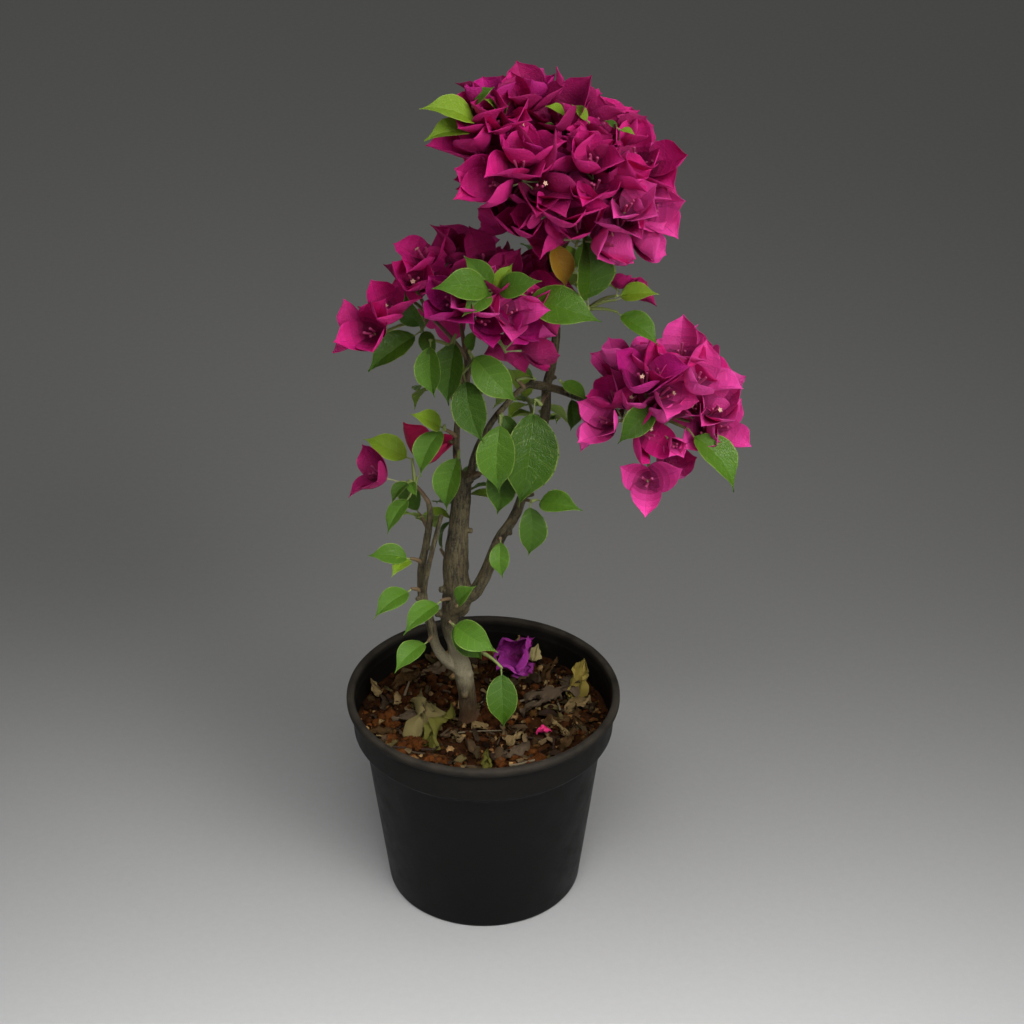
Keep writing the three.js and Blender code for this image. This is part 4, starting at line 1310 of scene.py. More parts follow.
def dry_finish(name, colour, roughness=0.8):
    """A dry leaf, a flake or a stick: one colour, with a fibrous relief."""
    finish = Finish(name, colour, roughness)
    grain = finish.noise(finish.place(), 1400, 4, 0.7)
    uneven = finish.band(grain, 0.3, 0.7, roughness - 0.15, min(roughness + 0.1, 1))
    finish.set(Roughness=uneven, Specular_IOR_Level=0.15)
    finish.bump(grain, 0.00035, 0.6)
    return finish.material


# How far crumbs, flakes and sticks stay from the soil's edge, and dry leaves from the rim
CRUMB_MARGIN = 2.5
FLAKE_MARGIN = 8
STICK_MARGIN = 20
RIM_MARGIN = 3

CRUMB_TINTS = [0x180C04, 0x241206, 0x341B09, 0x4A280E, 0x110802, 0x472F15, 0x302212, 0x6E4E2C, 0x866A44]
FLAKE_TINTS = [0x2C2114, 0x3E2F1E, 0x201409, 0x584830, 0x463C20, 0x6A5838, 0x45290C, 0x352A17]
STICK_TINTS = [0x3E3224, 0x5F5442, 0x261A12]
LITTER_TINTS = {
    "olive": 0x655B38, "tan": 0x665536, "yellow": 0x75672E, "brown": 0x38260F, "cream": 0x8A7F55,
    "pink": 0xC02C66, "russet": 0x5C2516, "grey": 0x44382A, "moss": 0x4C4A1A,
}

# Dry leaves laid one by one: x, y, heading, rise, length, width, curl, tint
LITTER_LEAVES = [
    (-46, -24, 93, 7, 46, 32, 1.5, "olive"),
    (-38, -40, 66, 12, 42, 19, 1.9, "moss"),
    (64, 26, 62, 40, 32, 24, 1.6, "yellow"),
    (60, 6, 25, 8, 22, 15, 0.9, "tan"),
    (44, 46, 60, 12, 24, 12, 2.2, "brown"),
    (56, 48, -40, 8, 22, 10, 2.4, "grey"),
    (2, -68, 84, 52, 17, 11, 1.4, "moss"),
    (-78, 24, 120, 30, 15, 9, 0.8, "tan"),
    (37, 70, 70, 34, 14, 9, 0.9, "cream"),
    (26, 78, 84, 60, 18, 9, 2.0, "tan"),
    (39, -22, -20, 22, 12, 10, 1.3, "pink"),
    (0, 70, 60, 30, 13, 9, 1.4, "russet"),
    (6, 74, 150, 26, 12, 9, 1.4, "russet"),
    (-66, -22, 200, 8, 20, 12, 1.4, "brown"),
    (12, -50, 20, 12, 24, 12, 2.0, "grey"),
    (60, -38, 70, 10, 20, 10, 1.9, "brown"),
    (-28, 58, 120, 10, 26, 14, 1.2, "brown"),
    (-66, -6, 20, 14, 26, 13, 1.5, "grey"),
    (72, -12, 100, 12, 20, 10, 1.7, "brown"),
    (30, 22, -15, 16, 30, 16, 1.6, "grey"),
    (46, 30, -8, 14, 26, 13, 1.9, "grey"),
    (28, 4, 20, 20, 24, 12, 2.1, "grey"),
    (44, -8, 10, 12, 20, 10, 1.8, "brown"),
    (-68, 34, 40, 10, 26, 14, 1.4, "brown"),
    (-44, 54, 20, 8, 24, 13, 1.7, "grey"),
    (20, -34, 60, 14, 18, 10, 2.0, "tan"),
    (62, -24, 130, 14, 20, 9, 2.2, "tan"),
]

# Sticks laid one by one: x, y, heading, length, radius
LITTER_STICKS = [(31, 15, 33, 21, 1.2), (27, 20, 20, 24, 0.9), (-18, -20, 0, 33, 0.7), (-60, 20, 80, 30, 1.0)]

# The fallen flower: x, y and lift of its root, facing, bract length, turn, lift of its bracts, thickness
FALLEN_PLACE = (30, 55, 9)
FALLEN_FACING = (-0.4, -0.55, 0.72)
FALLEN_SIZE = 31
FALLEN_TURN = 55
FALLEN_LIFT = 5
FALLEN_THICKNESS = 0.3

DRY_THICKNESS = 0.5
LITTER_LIFT = 2.2
DRY_FORM = BladeForm(
    width=0.62, root=0.5, tip=0.8, drawn=0.2, drawn_from=0.7, arch=0.06, fold=0.0, keel=2, crumple=0.12,
    tip_hook=-0.1, veins=6, slant=0.75, columns=(0.02, 0.2, 0.4, 0.6, 0.8, 1.0), ragged=0.12,
)
FLAKE_FORM = BladeForm(
    width=0.7, root=0.3, tip=0.4, drawn=0.0, drawn_from=0.7, arch=0.05, fold=0.0, keel=2, crumple=0.1,
    tip_hook=-0.1, veins=2, slant=0.3, columns=(0.1, 0.55, 1.0), ragged=0.2,
)


def rolled(grid, root, direction, face, curl):
    """A blade's corners rolled up about its middle line by an angle at its edge."""
    normal = unit(face - direction * (face @ direction))
    side = np.cross(normal, direction)
    offset = grid - root
    along, beside, above = offset @ direction, offset @ side, offset @ normal
    reach = max(float(np.abs(beside).max()), 1e-6)
    angle = curl * beside / reach
    radius = reach / curl
    inner = radius - above
    beside, above = np.sin(angle) * inner, radius - np.cos(angle) * inner
    return root + along[..., None] * direction + beside[..., None] * side + above[..., None] * normal


def dry_leaf(shape, form, root, direction, length, width, curl, tone, random):
    """A curled dry leaf, or a flake of one, that lies on the soil."""
    face = UP + aim(random() * 360, 0) * 0.25
    grid = blade_grid(form, root, direction, face, length, random, width / length / (form.half_width * 2))
    grid = rolled(grid, root, direction, face, curl)
    reach = np.hypot(grid[..., 0], grid[..., 1])
    share = np.minimum(1, (RIM_INNER_RADIUS - RIM_MARGIN) / np.maximum(reach, 1e-6))
    grid[..., :2] *= share[..., None]
    tones = even_tones(form, tone)
    blade_shell(shape, grid, DRY_THICKNESS, tones, tones, pattern_places(form))


def lump_base(divisions):
    """The corners and faces of a round lump of unit radius."""
    ball = bmesh.new()
    bmesh.ops.create_icosphere(ball, subdivisions=divisions, radius=1)
    points = np.array([v.co for v in ball.verts])
    faces = np.array([[v.index for v in f.verts] for f in ball.faces])
    ball.free()
    return points, faces


def lump(shape, base, centre, sizes, roughness, tone, random):
    """An uneven lump: a crumb of earth or a knot of bark."""
    points, faces = base
    offset = Vector((random() * 90, random() * 90, random() * 90))
    swell = np.array([1 + roughness * noise.noise(Vector(p) * 1.3 + offset) for p in points])
    turn = random() * 2 * math.pi
    tip = (random() - 0.5) * 1.2
    spin = np.array([[math.cos(turn), -math.sin(turn), 0], [math.sin(turn), math.cos(turn), 0], [0, 0, 1]])
    lean = np.array([[math.cos(tip), 0, math.sin(tip)], [0, 1, 0], [-math.sin(tip), 0, math.cos(tip)]])
    shape.add(centre + (points * swell[:, None] * sizes) @ lean.T @ spin.T, [(faces, tone)])


# Heaps of clods: middle x and y, reach, count, tint
CLOD_HEAPS = [
    (-72, -2, 10, 22, 3), (-58, -36, 14, 26, 3), (-30, -62, 14, 26, 3), (0, -4, 17, 40, 2),
    (-62, 26, 16, 20, 2), (30, -56, 20, 40, 3), (-14, 40, 30, 40, 2),
]


def disc_place(random, radius):
    """A place on the soil within a radius of its middle."""
    reach, turn = radius * math.sqrt(random()), random() * 2 * math.pi
    return reach * math.cos(turn), reach * math.sin(turn)


# Radii of crumbs and clods, from the least to the most, and from where a crumb's mesh is finer
CRUMB_SIZES = (0.6, 3.4)
FINE_CRUMB = 1.6
CLOD_SIZES = (1.6, 4.2)

# Radius and height of the soil block's side, from its top to its foot
SOIL_STEPS = [
    (SOIL_RADIUS, COLLAR_FOOT + 1.3), (BODY_RADIUS - WALL - 0.4, BODY_TOP + 0.9),
    (BASE_RADIUS - WALL - 0.3, SOIL_LOW[2]),
]
SOIL_SIDES = 260
SOIL_RINGS = 96


class BOUGAINVILLEA_OT_soil(bpy.types.Operator):
    """Builds the soil that fills the pot, with its crumbs"""

    bl_idname = "bougainvillea.soil"
    bl_label = "Soil"

    def execute(self, context):
        values = settings().soil
        shape = Shape()
        turns = np.arange(SOIL_SIDES) / SOIL_SIDES * 2 * math.pi
        radii = np.linspace(0, SOIL_RADIUS, SOIL_RINGS + 1)[1:]
        r, turn = np.meshgrid(radii, turns, indexing="ij")
        x, y = r * np.cos(turn), r * np.sin(turn)
        rough = np.array([
            1.5 * noise.fractal(Vector((a / 9, b / 9, 3)), 0.6, 2.1, 4)
            + 0.7 * abs(noise.noise(Vector((a / 2.6, b / 2.6, 9))))
            for a, b in zip(x.ravel(), y.ravel())
        ]).reshape(x.shape)
        z = soil_height(x, y) + rough - 0.5
        rings = [*np.stack([x, y, z], -1), *(level_ring(*step, turns) for step in SOIL_STEPS)]
        ring_body(shape, rings, [[0, 0, float(z[0].mean())], [0, 0, SOIL_LOW[2]]], 0, inward=True)
        earth = earth_finish("Moist earth", values.earth, 0.5, 0.0006)
        put(shape.mesh("soil_block", 80), "soil_block", [earth], ["soil"])

        crumbs = Shape()
        random = seeded(CRUMB_SEED)
        base = lump_base(1)
        fine = lump_base(2)
        for _ in range(values.crumbs):
            x, y = disc_place(random, SOIL_RADIUS - CRUMB_MARGIN)
            least, most = CRUMB_SIZES
            size = least + (most - least) * random() ** 3
            sizes = np.array([size, size * between(random, 0.7, 1), size * between(random, 0.5, 0.8)])
            tone = int(random() ** 1.5 * len(CRUMB_TINTS))
            source = fine if size > FINE_CRUMB else base
            lump(crumbs, source, soil_point(x, y, size * 0.25), sizes, 0.9, tone, random)
        for middle_x, middle_y, reach, count, tone in CLOD_HEAPS:
            for _ in range(count):
                x, y = disc_place(random, reach)
                size = between(random, *CLOD_SIZES)
                centre = soil_point(middle_x + x, middle_y + y, size * 0.6)
                lump(crumbs, fine, centre, np.array([size, size, size * 0.85]), 0.9, tone, random)
        finishes = [earth_finish(f"Crumb {k + 1}", ink(c), 0.35, 0.0004) for k, c in enumerate(CRUMB_TINTS)]
        put(crumbs.mesh("soil_crumbs", 80), "soil_crumbs", finishes, ["soil"])
        return {"FINISHED"}


class BOUGAINVILLEA_OT_litter(bpy.types.Operator):
    """Builds the dry leaves, flakes and sticks that lie on the soil"""

    bl_idname = "bougainvillea.litter"
    bl_label = "Litter"

    def execute(self, context):
        values = settings().soil
        random = seeded(LITTER_SEED)
        flakes = Shape()
        names = list(LITTER_TINTS)
        first = len(FLAKE_TINTS)
        for x, y, heading, rise, length, width, curl, tint in LITTER_LEAVES:
            root = soil_point(x, y, LITTER_LIFT)
            tone = first + names.index(tint)
            dry_leaf(flakes, DRY_FORM, root, aim(heading, rise), length, width, curl, tone, random)
        for _ in range(values.flakes):
            x, y = disc_place(random, SOIL_RADIUS - FLAKE_MARGIN)
            length = between(random, 5, 9) + 9 * random() ** 3
            direction = aim(random() * 360, between(random, -4, 30))
            root = soil_point(x, y, between(random, 0.8, 3.4)) - direction * length / 2 * 0.6
            tone = int(random() * len(FLAKE_TINTS))
            width = length * between(random, 0.5, 0.95)
            curl = between(random, 0.7, 2.4)
            dry_leaf(flakes, FLAKE_FORM, root, direction, length, width, curl, tone, random)
        tints = [*FLAKE_TINTS, *LITTER_TINTS.values()]
        finishes = [dry_finish(f"Dry leaf {k + 1}", ink(c)) for k, c in enumerate(tints)]
        put(flakes.mesh("litter_leaves"), "litter_leaves", finishes)

        petals = Shape()
        facing = unit(np.array(FALLEN_FACING))
        fallen = flower_place(soil_point(*FALLEN_PLACE), facing, FALLEN_SIZE, FALLEN_TURN, 0)
        fallen["base"] = fallen["root"] + UP * FALLEN_LIFT
        flower(petals, Shape(), fallen, facing, "faded", FALLEN_THICKNESS, seeded(FALLEN_SEED), WILTED_FORM)
        put(petals.mesh("fallen_bracts"), "fallen_bracts", bract_finishes())

        sticks = Shape()
        for x, y, heading, length, radius in LITTER_STICKS:
            start = soil_point(x, y, radius + 1.2)
            end = start + aim(heading, 3) * length
            tube(sticks, bow(start, end, 0.03, 8), [radius * s for s in np.linspace(1, 0.7, 9)], 8, 1)
        for _ in range(values.sticks):
            x, y = disc_place(random, SOIL_RADIUS - STICK_MARGIN)
            radius = between(random, 0.4, 1.0)
            start = soil_point(x, y, radius + 0.4)
            end = start + aim(random() * 360, between(random, 0, 14)) * between(random, 7, 19)
            line = bow(start, end, between(random, -0.05, 0.1), 6)
            tube(sticks, line, radius, 6, int(random() * len(STICK_TINTS)))
        finishes = [dry_finish(f"Stick {k + 1}", ink(c), 0.7) for k, c in enumerate(STICK_TINTS)]
        put(sticks.mesh("litter_sticks"), "litter_sticks", finishes)
        return {"FINISHED"}


# Bark

# Cut stubs: limb, share of its length, heading, rise, length, radius
STUBS = [
    ("trunk", 0.985, -20, 35, 8, 2.6),
    ("trunk", 0.93, -60, 30, 3, 2.2),
    ("trunk", 0.88, -20, 10, 3, 1.9),
    ("trunk", 0.72, 200, 20, 3, 2.4),
    ("trunk", 0.62, 190, 10, 4, 2.6),
    ("trunk", 0.3, -100, 8, 2, 2.6),
    ("stem_left", 0.5, 210, 30, 3, 1.5),
    ("stem_left", 0.72, -30, 25, 3, 1.3),
    ("stem_right", 0.3, -30, 20, 3, 1.9),
    ("stem_right", 0.44, -20, 20, 5, 1.7),
    ("stem_right", 0.66, 10, 25, 3, 1.4),
    ("branch_top_left", 0.3, 190, 30, 3, 1.3),
    ("branch_top", 0.42, -80, 40, 3, 1.3),
]

# Swellings: limb, share of its length, heading, offset share of the radius, size
KNOTS = [
    ("trunk", 0.70, -90, 0.35, 9.5), ("trunk", 0.66, -10, 0.5, 8), ("trunk", 0.58, -120, 0.5, 4.5),
    ("trunk", 0.4, -100, 0.55, 4.6), ("trunk", 0.22, -60, 0.5, 4.4), ("trunk", 0.82, 200, 0.5, 5.6),
    ("stem_right", 0.36, -90, 0.4, 4), ("stem_right", 0.6, -100, 0.4, 2.9),
    ("stem_left", 0.36, -90, 0.4, 3.2), ("trunk", 0.97, -90, 0.2, 6.2), ("trunk", 0.385, -25, 0.5, 5.4),
    ("trunk", 0.43, -160, 0.5, 5),
]

BARK_STEPS = 14
BARK_SIDES = 20
LONG_GRAIN = 9
TRUNK_OVERLAP = 0.6

# Heights in metres where the damp foot fades, and where the pale knob begins and ends
DAMP_FOOT = (0.146, 0.178)
KNOB_FOOT = (0.172, 0.186)
KNOB_TOP = (0.222, 0.205)


def bark_body():
    """The limbs, stubs and knots as overlapping closed tubes and lumps, and the marks along them."""
    shape = Shape()
    marks = []
    for name in LIMBS:
        points, radii = limb_marks(name, BARK_STEPS)
        if name == "trunk":
            keep = points[:, 2] >= SOIL_LEVEL - TRUNK_OVERLAP
            points, radii = points[keep], radii[keep]
        wobble = [1 + 0.07 * noise.noise(Vector(p) * 0.09) for p in points]
        tube(shape, points, radii * wobble * 0.97, BARK_SIDES, 0)
        run = np.concatenate([[0], np.cumsum(np.linalg.norm(np.diff(points, axis=0), axis=1))])
        tangents = np.gradient(points, axis=0)
        tangents /= np.linalg.norm(tangents, axis=1, keepdims=True)
        marks += [(Vector(p), Vector(t), r, s) for p, t, r, s in zip(points, tangents, radii, run)]
    for name, along, heading, rise, length, radius in STUBS:
        start = limb_point(name, along)
        reach = limb_radius(name, along) + length
        end = start + aim(heading, rise) * reach
        tube(shape, bow(start, end, 0.03, 6), np.linspace(radius * 1.25, radius, 7), 12, 0)
    base = lump_base(2)
    random = seeded(KNOT_SEED)
    for name, along, heading, offset, size in KNOTS:
        centre = limb_point(name, along) + aim(heading, 0) * limb_radius(name, along) * offset
        lump(shape, base, centre, np.array([size * 0.8, size * 0.8, size]), 0.25, 0, random)
    return shape.mesh("bark_body"), marks


def ridged(place, seed):
    """A pattern of sharp furrows: 0 in a furrow and 1 between them."""
    offset = Vector((seed, seed * 2.7, seed * 5.1))
    return min(1.0, abs(noise.noise(place + offset)) * 4)


def bark_relief(mesh, marks, depth):
    """Carves lengthwise furrows and cracks into the bark, and notes how deep each point lies."""
    tree = kdtree.KDTree(len(marks))
    for i, (point, _, _, _) in enumerate(marks):
        tree.insert(point, i)
    tree.balance()
    furrow = mesh.attributes.new("furrow", "FLOAT", "POINT")
    depths = np.zeros(len(mesh.vertices))
    normals = [v.normal.copy() for v in mesh.vertices]
    for i, vertex in enumerate(mesh.vertices):
        place = vertex.co / MILLIMETRE
        _, k, _ = tree.find(place)
        centre, tangent, radius, run = marks[k]
        offset = place - centre
        run = run + offset.dot(tangent)
        flat = offset - tangent * offset.dot(tangent)
        pattern = flat * 0.5 + tangent * (run / LONG_GRAIN * 0.5)
        long_furrows = ridged(pattern, 1.0)
        fine = noise.noise(pattern * 3.1) * 0.5 + 0.5
        swell = noise.noise(place * 0.13)
        value = 0.42 * long_furrows + 0.42 * fine + 0.3 * swell + 0.1
        depths[i] = value
        size = min(1.0, 0.25 + radius / 9)
        vertex.co += normals[i] * (value - 0.6) * depth * size
    furrow.data.foreach_set("value", depths)


def bark_finish():
    """Bark that is darker in its furrows as painted shade, pale on the knob and brown near the soil."""
    values = settings().bark
    finish = Finish("Bark", values.pale, 0.85)
    place = finish.place()
    furrow = finish.node("Attribute", {"attribute_name": "furrow", "attribute_type": "GEOMETRY"})
    furrow = furrow.node.outputs["Fac"]
    cloud = finish.noise(place, 90, 5, 0.65)
    fine = finish.noise(place, 750, 5, 0.75)
    streaks = finish.noise(finish.scaled(place, (820, 820, 75)), 1, 4, 0.7)
    # Painted shade: the lower a point lies in a furrow, the nearer its colour is to the dark bark
    share = finish.math("ADD", furrow, finish.band(streaks, 0.36, 0.64, -0.42, 0.26))
    colour = finish.blend(finish.band(share, 0.15, 0.8), values.dark, values.pale)
    brown = shade(values.pale, 0.6, 0.0, ink(0x6A5034), 0.5)
    colour = finish.blend(finish.band(cloud, 0.45, 0.72, 0, 0.7), colour, brown)
    height = finish.height(place)
    knob = finish.math("MULTIPLY", finish.band(height, *KNOB_FOOT), finish.band(height, *KNOB_TOP))
    colour = finish.blend(finish.math("MULTIPLY", knob, 0.75), colour, shade(values.pale, 3.0, 0.4))
    greyer = shade(values.pale, 1.5, 0.4)
    colour = finish.blend(finish.band(fine, 0.52, 0.66, 0, 0.6), colour, greyer)
    colour = finish.blend(finish.band(fine, 0.46, 0.34, 0, 0.6), colour, values.dark)
    damp = finish.band(height, *DAMP_FOOT, 0.8, 0)
    colour = finish.blend(damp, colour, shade(brown, 0.7, 0, ink(0x5A3418), 0.65))
    finish.set(Base_Color=colour, Roughness=finish.band(furrow, 0.2, 0.8, 0.95, 0.7))
    finish.bump(finish.math("ADD", fine, streaks), 0.00025, 0.7)
    return finish.material


class BOUGAINVILLEA_OT_bark(bpy.types.Operator):
    """Builds trunk, stems and branches as one body with bark"""

    bl_idname = "bougainvillea.bark"
    bl_label = "Bark"

    def execute(self, context):
        values = settings().bark
        body, marks = bark_body()
        voxel = values.voxel * 1
        remesh = {"mode": "VOXEL", "voxel_size": voxel, "use_smooth_shade": True}
        smooth = {"factor": 0.5, "iterations": 3}
        mesh = solved(body, "bark_rough", [("Join", "REMESH", remesh), ("Even", "SMOOTH", smooth)])
        bark_relief(mesh, marks, values.relief)
        mesh.polygons.foreach_set("use_smooth", np.ones(len(mesh.polygons), bool))
        put(mesh, "bark", [bark_finish()], list(LIMBS))
        return {"FINISHED"}


# Leaves, twigs and blossom

GROWN = {}


def plant():
    """Every grown mass, grown once."""
    if not GROWN:
        GROWN.update(grow_all(settings().blossom.spacing / MILLIMETRE))
    return GROWN


def bract_weights(region, heart):
    """The weights of the bract kinds in a region: more pink and fewer deep bracts on the lit side of the top
    head, as painted light.
    """
    weights = dict(BLOSSOM_KINDS[region])
    if region == "top":
        lit = float(smoothstep(heart[0] - LIT_LEAN * (heart[2] - LIT_HEIGHT), *LIT_SIDE))
        weights["pink"] += LIT_PINK * lit
        weights["deep"] *= 1 - lit
    return weights


def kind_of(weights, random):
    """One of some kinds, drawn by their weights."""
    draw = random() * sum(weights.values())
    for kind, weight in weights.items():
        draw -= weight
        if draw <= 0:
            return kind
    return kind


# The painted light on the top head's lit side: x where it begins and is full at a height, how it leans, and
# its added pink
LIT_SIDE = (60, 110)
LIT_HEIGHT = 560
LIT_LEAN = 0.5
LIT_PINK = 6

# Weights of the bract kinds by region, and of the leaf kinds
BLOSSOM_KINDS = {
    "top": {"magenta": 6, "deep": 4, "violet": 0.6, "pink": 1},
    "left": {"magenta": 6, "deep": 3, "violet": 0.8, "pink": 1},
    # The right head's many pink and few deep bracts are painted light
    "right": {"magenta": 5, "deep": 0.2, "violet": 0.4, "pink": 14},
    "low": {"magenta": 3, "crimson": 2, "deep": 1},
}
LEAF_WEIGHTS = {"green": 6, "deep": 3, "fresh": 1}

# Share of a mass's leaves that have the mass's own kind
OWN_KIND = 0.7

# Tints that leaf veins and margins lean to, and the dark tints of the painted shade in a bract's throat,
# inner and lower rows
LIME = ink(0xA8B660)
THROAT_SHADE, INNER_SHADE, LOWER_SHADE = ink(0x4A0820), ink(0x7A0C38), ink(0x8A1048)


def blade_finish(name, colour, roughness, veins, shine, glow=0.0):
    """A leaf's or a bract's surface, with a fine net of veins as relief."""
    finish = Finish(name, colour, roughness)
    place = finish.place("UV")
    net = finish.node(
        "TexVoronoi", {"feature": "DISTANCE_TO_EDGE"}, Vector=finish.scaled(place, (1, 1.5, 1)), Scale=veins,
    )
    raised = finish.band(net, 0, 0.12)
    cloud = finish.noise(place, 9, 4, 0.6)
    height = finish.math("ADD", finish.math("MULTIPLY", raised, 0.6), cloud)
    finish.bump(height, 0.0005, 0.6)
    uneven = finish.band(cloud, 0.3, 0.7, roughness - 0.06, roughness + 0.08)
    finish.set(Roughness=uneven, Specular_IOR_Level=shine)
    if glow:
        finish.set(Subsurface_Weight=glow, Subsurface_Radius=(1.0, 0.35, 0.55), Subsurface_Scale=0.0012)
    return finish.material


def leaf_finishes():
    """The finishes of every leaf kind, in the order of its parts."""
    values = settings().leaves
    finishes = []
    for kind in LEAF_KINDS:
        colour = getattr(values, kind)
        parts = {
            "blade": shade(colour, 1.0),
            "vein": shade(colour, 1.08, 0, LIME, 0.05),
            "margin": shade(colour, 1.2, 0, LIME, 0.38),
            "back": shade(colour, 1.15, 0.2, LIME, 0.15),
        }
        for part, tint in parts.items():
            roughness = 0.6 if part == "back" else 0.42
            finishes.append(blade_finish(f"Leaf {kind} {part}", tint, roughness, 16, 0.32))
    return finishes


def bract_finishes():
    """The finishes of every bract kind, in the order of its parts."""
    values = settings().blossom
    finishes = []
    for kind in BRACT_KINDS:
        colour = getattr(values, kind)
        # Painted light in a bract's finishes: throat, inner, lower, middle and back foot are darker as
        # painted shade, and the tip is lighter as painted highlight
        parts = {
            "blade": shade(colour, 1.0),
            "vein": shade(colour, 0.6),
            # The lighter margin is a painted highlight
            "margin": shade(colour, 1.2, 0.04),
            "back": shade(colour, 0.95, 0.03),
            "throat": shade(colour, 0.34, 0.0, THROAT_SHADE, 0.4),
            "inner": shade(colour, 0.5, 0.0, INNER_SHADE, 0.25),
            "lower": shade(colour, 0.7, 0.0, LOWER_SHADE, 0.1),
            "middle": shade(colour, 0.85),
            "tip": shade(colour, 1.12, 0.02),
            "back foot": shade(colour, 0.75, 0.04),
        }
        for part, tint in parts.items():
            finishes.append(blade_finish(f"Bract {kind} {part}", tint, 0.62, 10, 0.2, 0.2))
    return finishes


def twig_finish(name, colour):
    """A twig's skin, with fine grain."""
    finish = Finish(name, colour, 0.65)
    grain = finish.noise(finish.place(), 1300, 4, 0.65)
    finish.set(Roughness=finish.band(grain, 0.3, 0.7, 0.5, 0.8))
    finish.bump(grain, 0.0002, 0.6)
    return finish.material


def floret_finishes():
    """The finishes of the tube flowers: tube, stalk and star."""
    return [twig_finish(f"Tube flower {k + 1}", ink(c)) for k, c in enumerate(FLORET_TINTS)]


TWIG_TINTS = [0x6E5A40, 0x7C8A4A]
FLORET_TINTS = [0xA83A6C, 0x8C9468, 0xDCB49C]
FLORET_TUBE, FLORET_STALK, FLORET_STAR = range(3)


# Leaves that show among the top blossom: place, heading, rise, length and kind; then their stalk's foot
# from there, and how far they face the front
BLOSSOM_LEAVES = [
    ((3, -22, 614), -165, 20, 44, "fresh"),
    ((0, -22, 610), -161, -2, 36, "fresh"),
    ((-4, -18, 624), -9, 46, 20, "green"),
    ((13, -18, 619), -154, 52, 16, "fresh"),
    ((56, -12, 615), -162, 33, 17, "fresh"),
    ((70, -12, 611), 168, 45, 16, "fresh"),
    ((49, -20, 609), -165, 32, 10, "deep"),
    ((89, -16, 608), 180, 35, 11, "deep"),
    ((89, -16, 608), -25, -6, 11, "fresh"),
]
BLOSSOM_LEAF_STALK = (0, 14, -20)
BLOSSOM_LEAF_TURN = 0.45


class BOUGAINVILLEA_OT_leaves(bpy.types.Operator):
    """Builds the leaves, and the twigs that carry leaves and flowers"""

    bl_idname = "bougainvillea.leaves"
    bl_label = "Leaves and twigs"

    def execute(self, context):
        thickness = settings().leaves.thickness / MILLIMETRE
        finishes = leaf_finishes()
        bark = [twig_finish(f"Twig {k + 1}", ink(c)) for k, c in enumerate(TWIG_TINTS)]
        random = seeded(LEAF_SEED)
        for region, names in REGIONS.items():
            blades, twigs = Shape(), Shape()
            for name in names:
                mass_kind = kind_of(LEAF_WEIGHTS, random)
                for k, (start, end, thick, thin, lift) in enumerate(plant()[name]["twigs"]):
                    tone = TWIG_BROWN if k == 0 else TWIG_GREEN
                    tube(twigs, bow(start, end, lift, 8), np.linspace(thick, thin * 0.75, 9) * 0.8, 8, tone)
                for root, direction, face, length, kind in plant()[name]["leaves"]:
                    kind = kind or (mass_kind if random() < OWN_KIND else kind_of(LEAF_WEIGHTS, random))
                    leaf(blades, twigs, (root, direction, face, length, kind), thickness, random)
            for place, heading, rise, length, kind in BLOSSOM_LEAVES if region == "top" else ():
                place = np.array(place, float)
                stalk = bow(place + BLOSSOM_LEAF_STALK, place, 0.1, 4)
                tube(twigs, stalk, [0.9, 0.8, 0.7, 0.6, 0.5], 6, TWIG_GREEN)
                one = (place, aim(heading, rise), UP - AHEAD * BLOSSOM_LEAF_TURN, length, kind)
                leaf(blades, twigs, one, thickness, random)
            put(blades.mesh(f"leaves_{region}"), f"leaves_{region}", finishes, names)
            put(twigs.mesh(f"twigs_{region}"), f"twigs_{region}", bark, names)
        return {"FINISHED"}


# Radii along a tube flower, and its star: lobe tips, notches, and how far each stands out
TUBE_RADII = np.array([0.55, 0.95, 1.0, 0.8, 0.75, 0.85, 1.05, 0.9])
STAR_LOBES = 5
STAR_TIP, STAR_NOTCH = (2.0, 0.7), (1.1, 0.5)


def floret(shape, base, direction, length, open_star, random):
    """A slender tube flower: a bud, or open with a small five-lobed star."""
    across, beside = across_frame(direction)
    bend = (across * (random() - 0.5) + beside * (random() - 0.5)) * 0.16 * length
    shares = np.linspace(0, 1, len(TUBE_RADII))
    line = np.array([base + direction * length * t + bend * t * t for t in shares])
    tube(shape, line, TUBE_RADII if open_star else TUBE_RADII * 0.95, 7, FLORET_TUBE)
    if not open_star:
        return
    centre = line[-1]
    points, faces = [centre + direction * 0.2], []
    count = 2 * STAR_LOBES
    for k in range(count):
        reach, ahead = STAR_NOTCH if k % 2 else STAR_TIP
        turn = k * 2 * math.pi / count + random() * 0.15
        radial = across * math.cos(turn) + beside * math.sin(turn)
        points.append(centre + radial * reach + direction * ahead)
    points.append(centre - direction * 0.5)
    for k in range(count):
        a, b = 1 + k, 1 + (k + 1) % count
        faces += [[0, a, b], [count + 1, b, a]]
    shape.add(points, [(faces, FLORET_STAR)])


# Share of buds, the opening of buds and of open flowers in degrees, and a bud's size; then the share
# of tube flowers that are open
BUD_SHARE = 0.12
BUD_OPENING = (12, 18)
OPEN_OPENING = (24, 42)
BUD_SIZE = 0.68
OPEN_TUBES = 0.1

# Kinds and sizes of single flowers, by their mass
NAMED_KINDS = {"spray_low_left": ("deep", "crimson"), "spray_between": ("deep", "magenta")}
NAMED_SIZE = {"spray_between": 0.6}


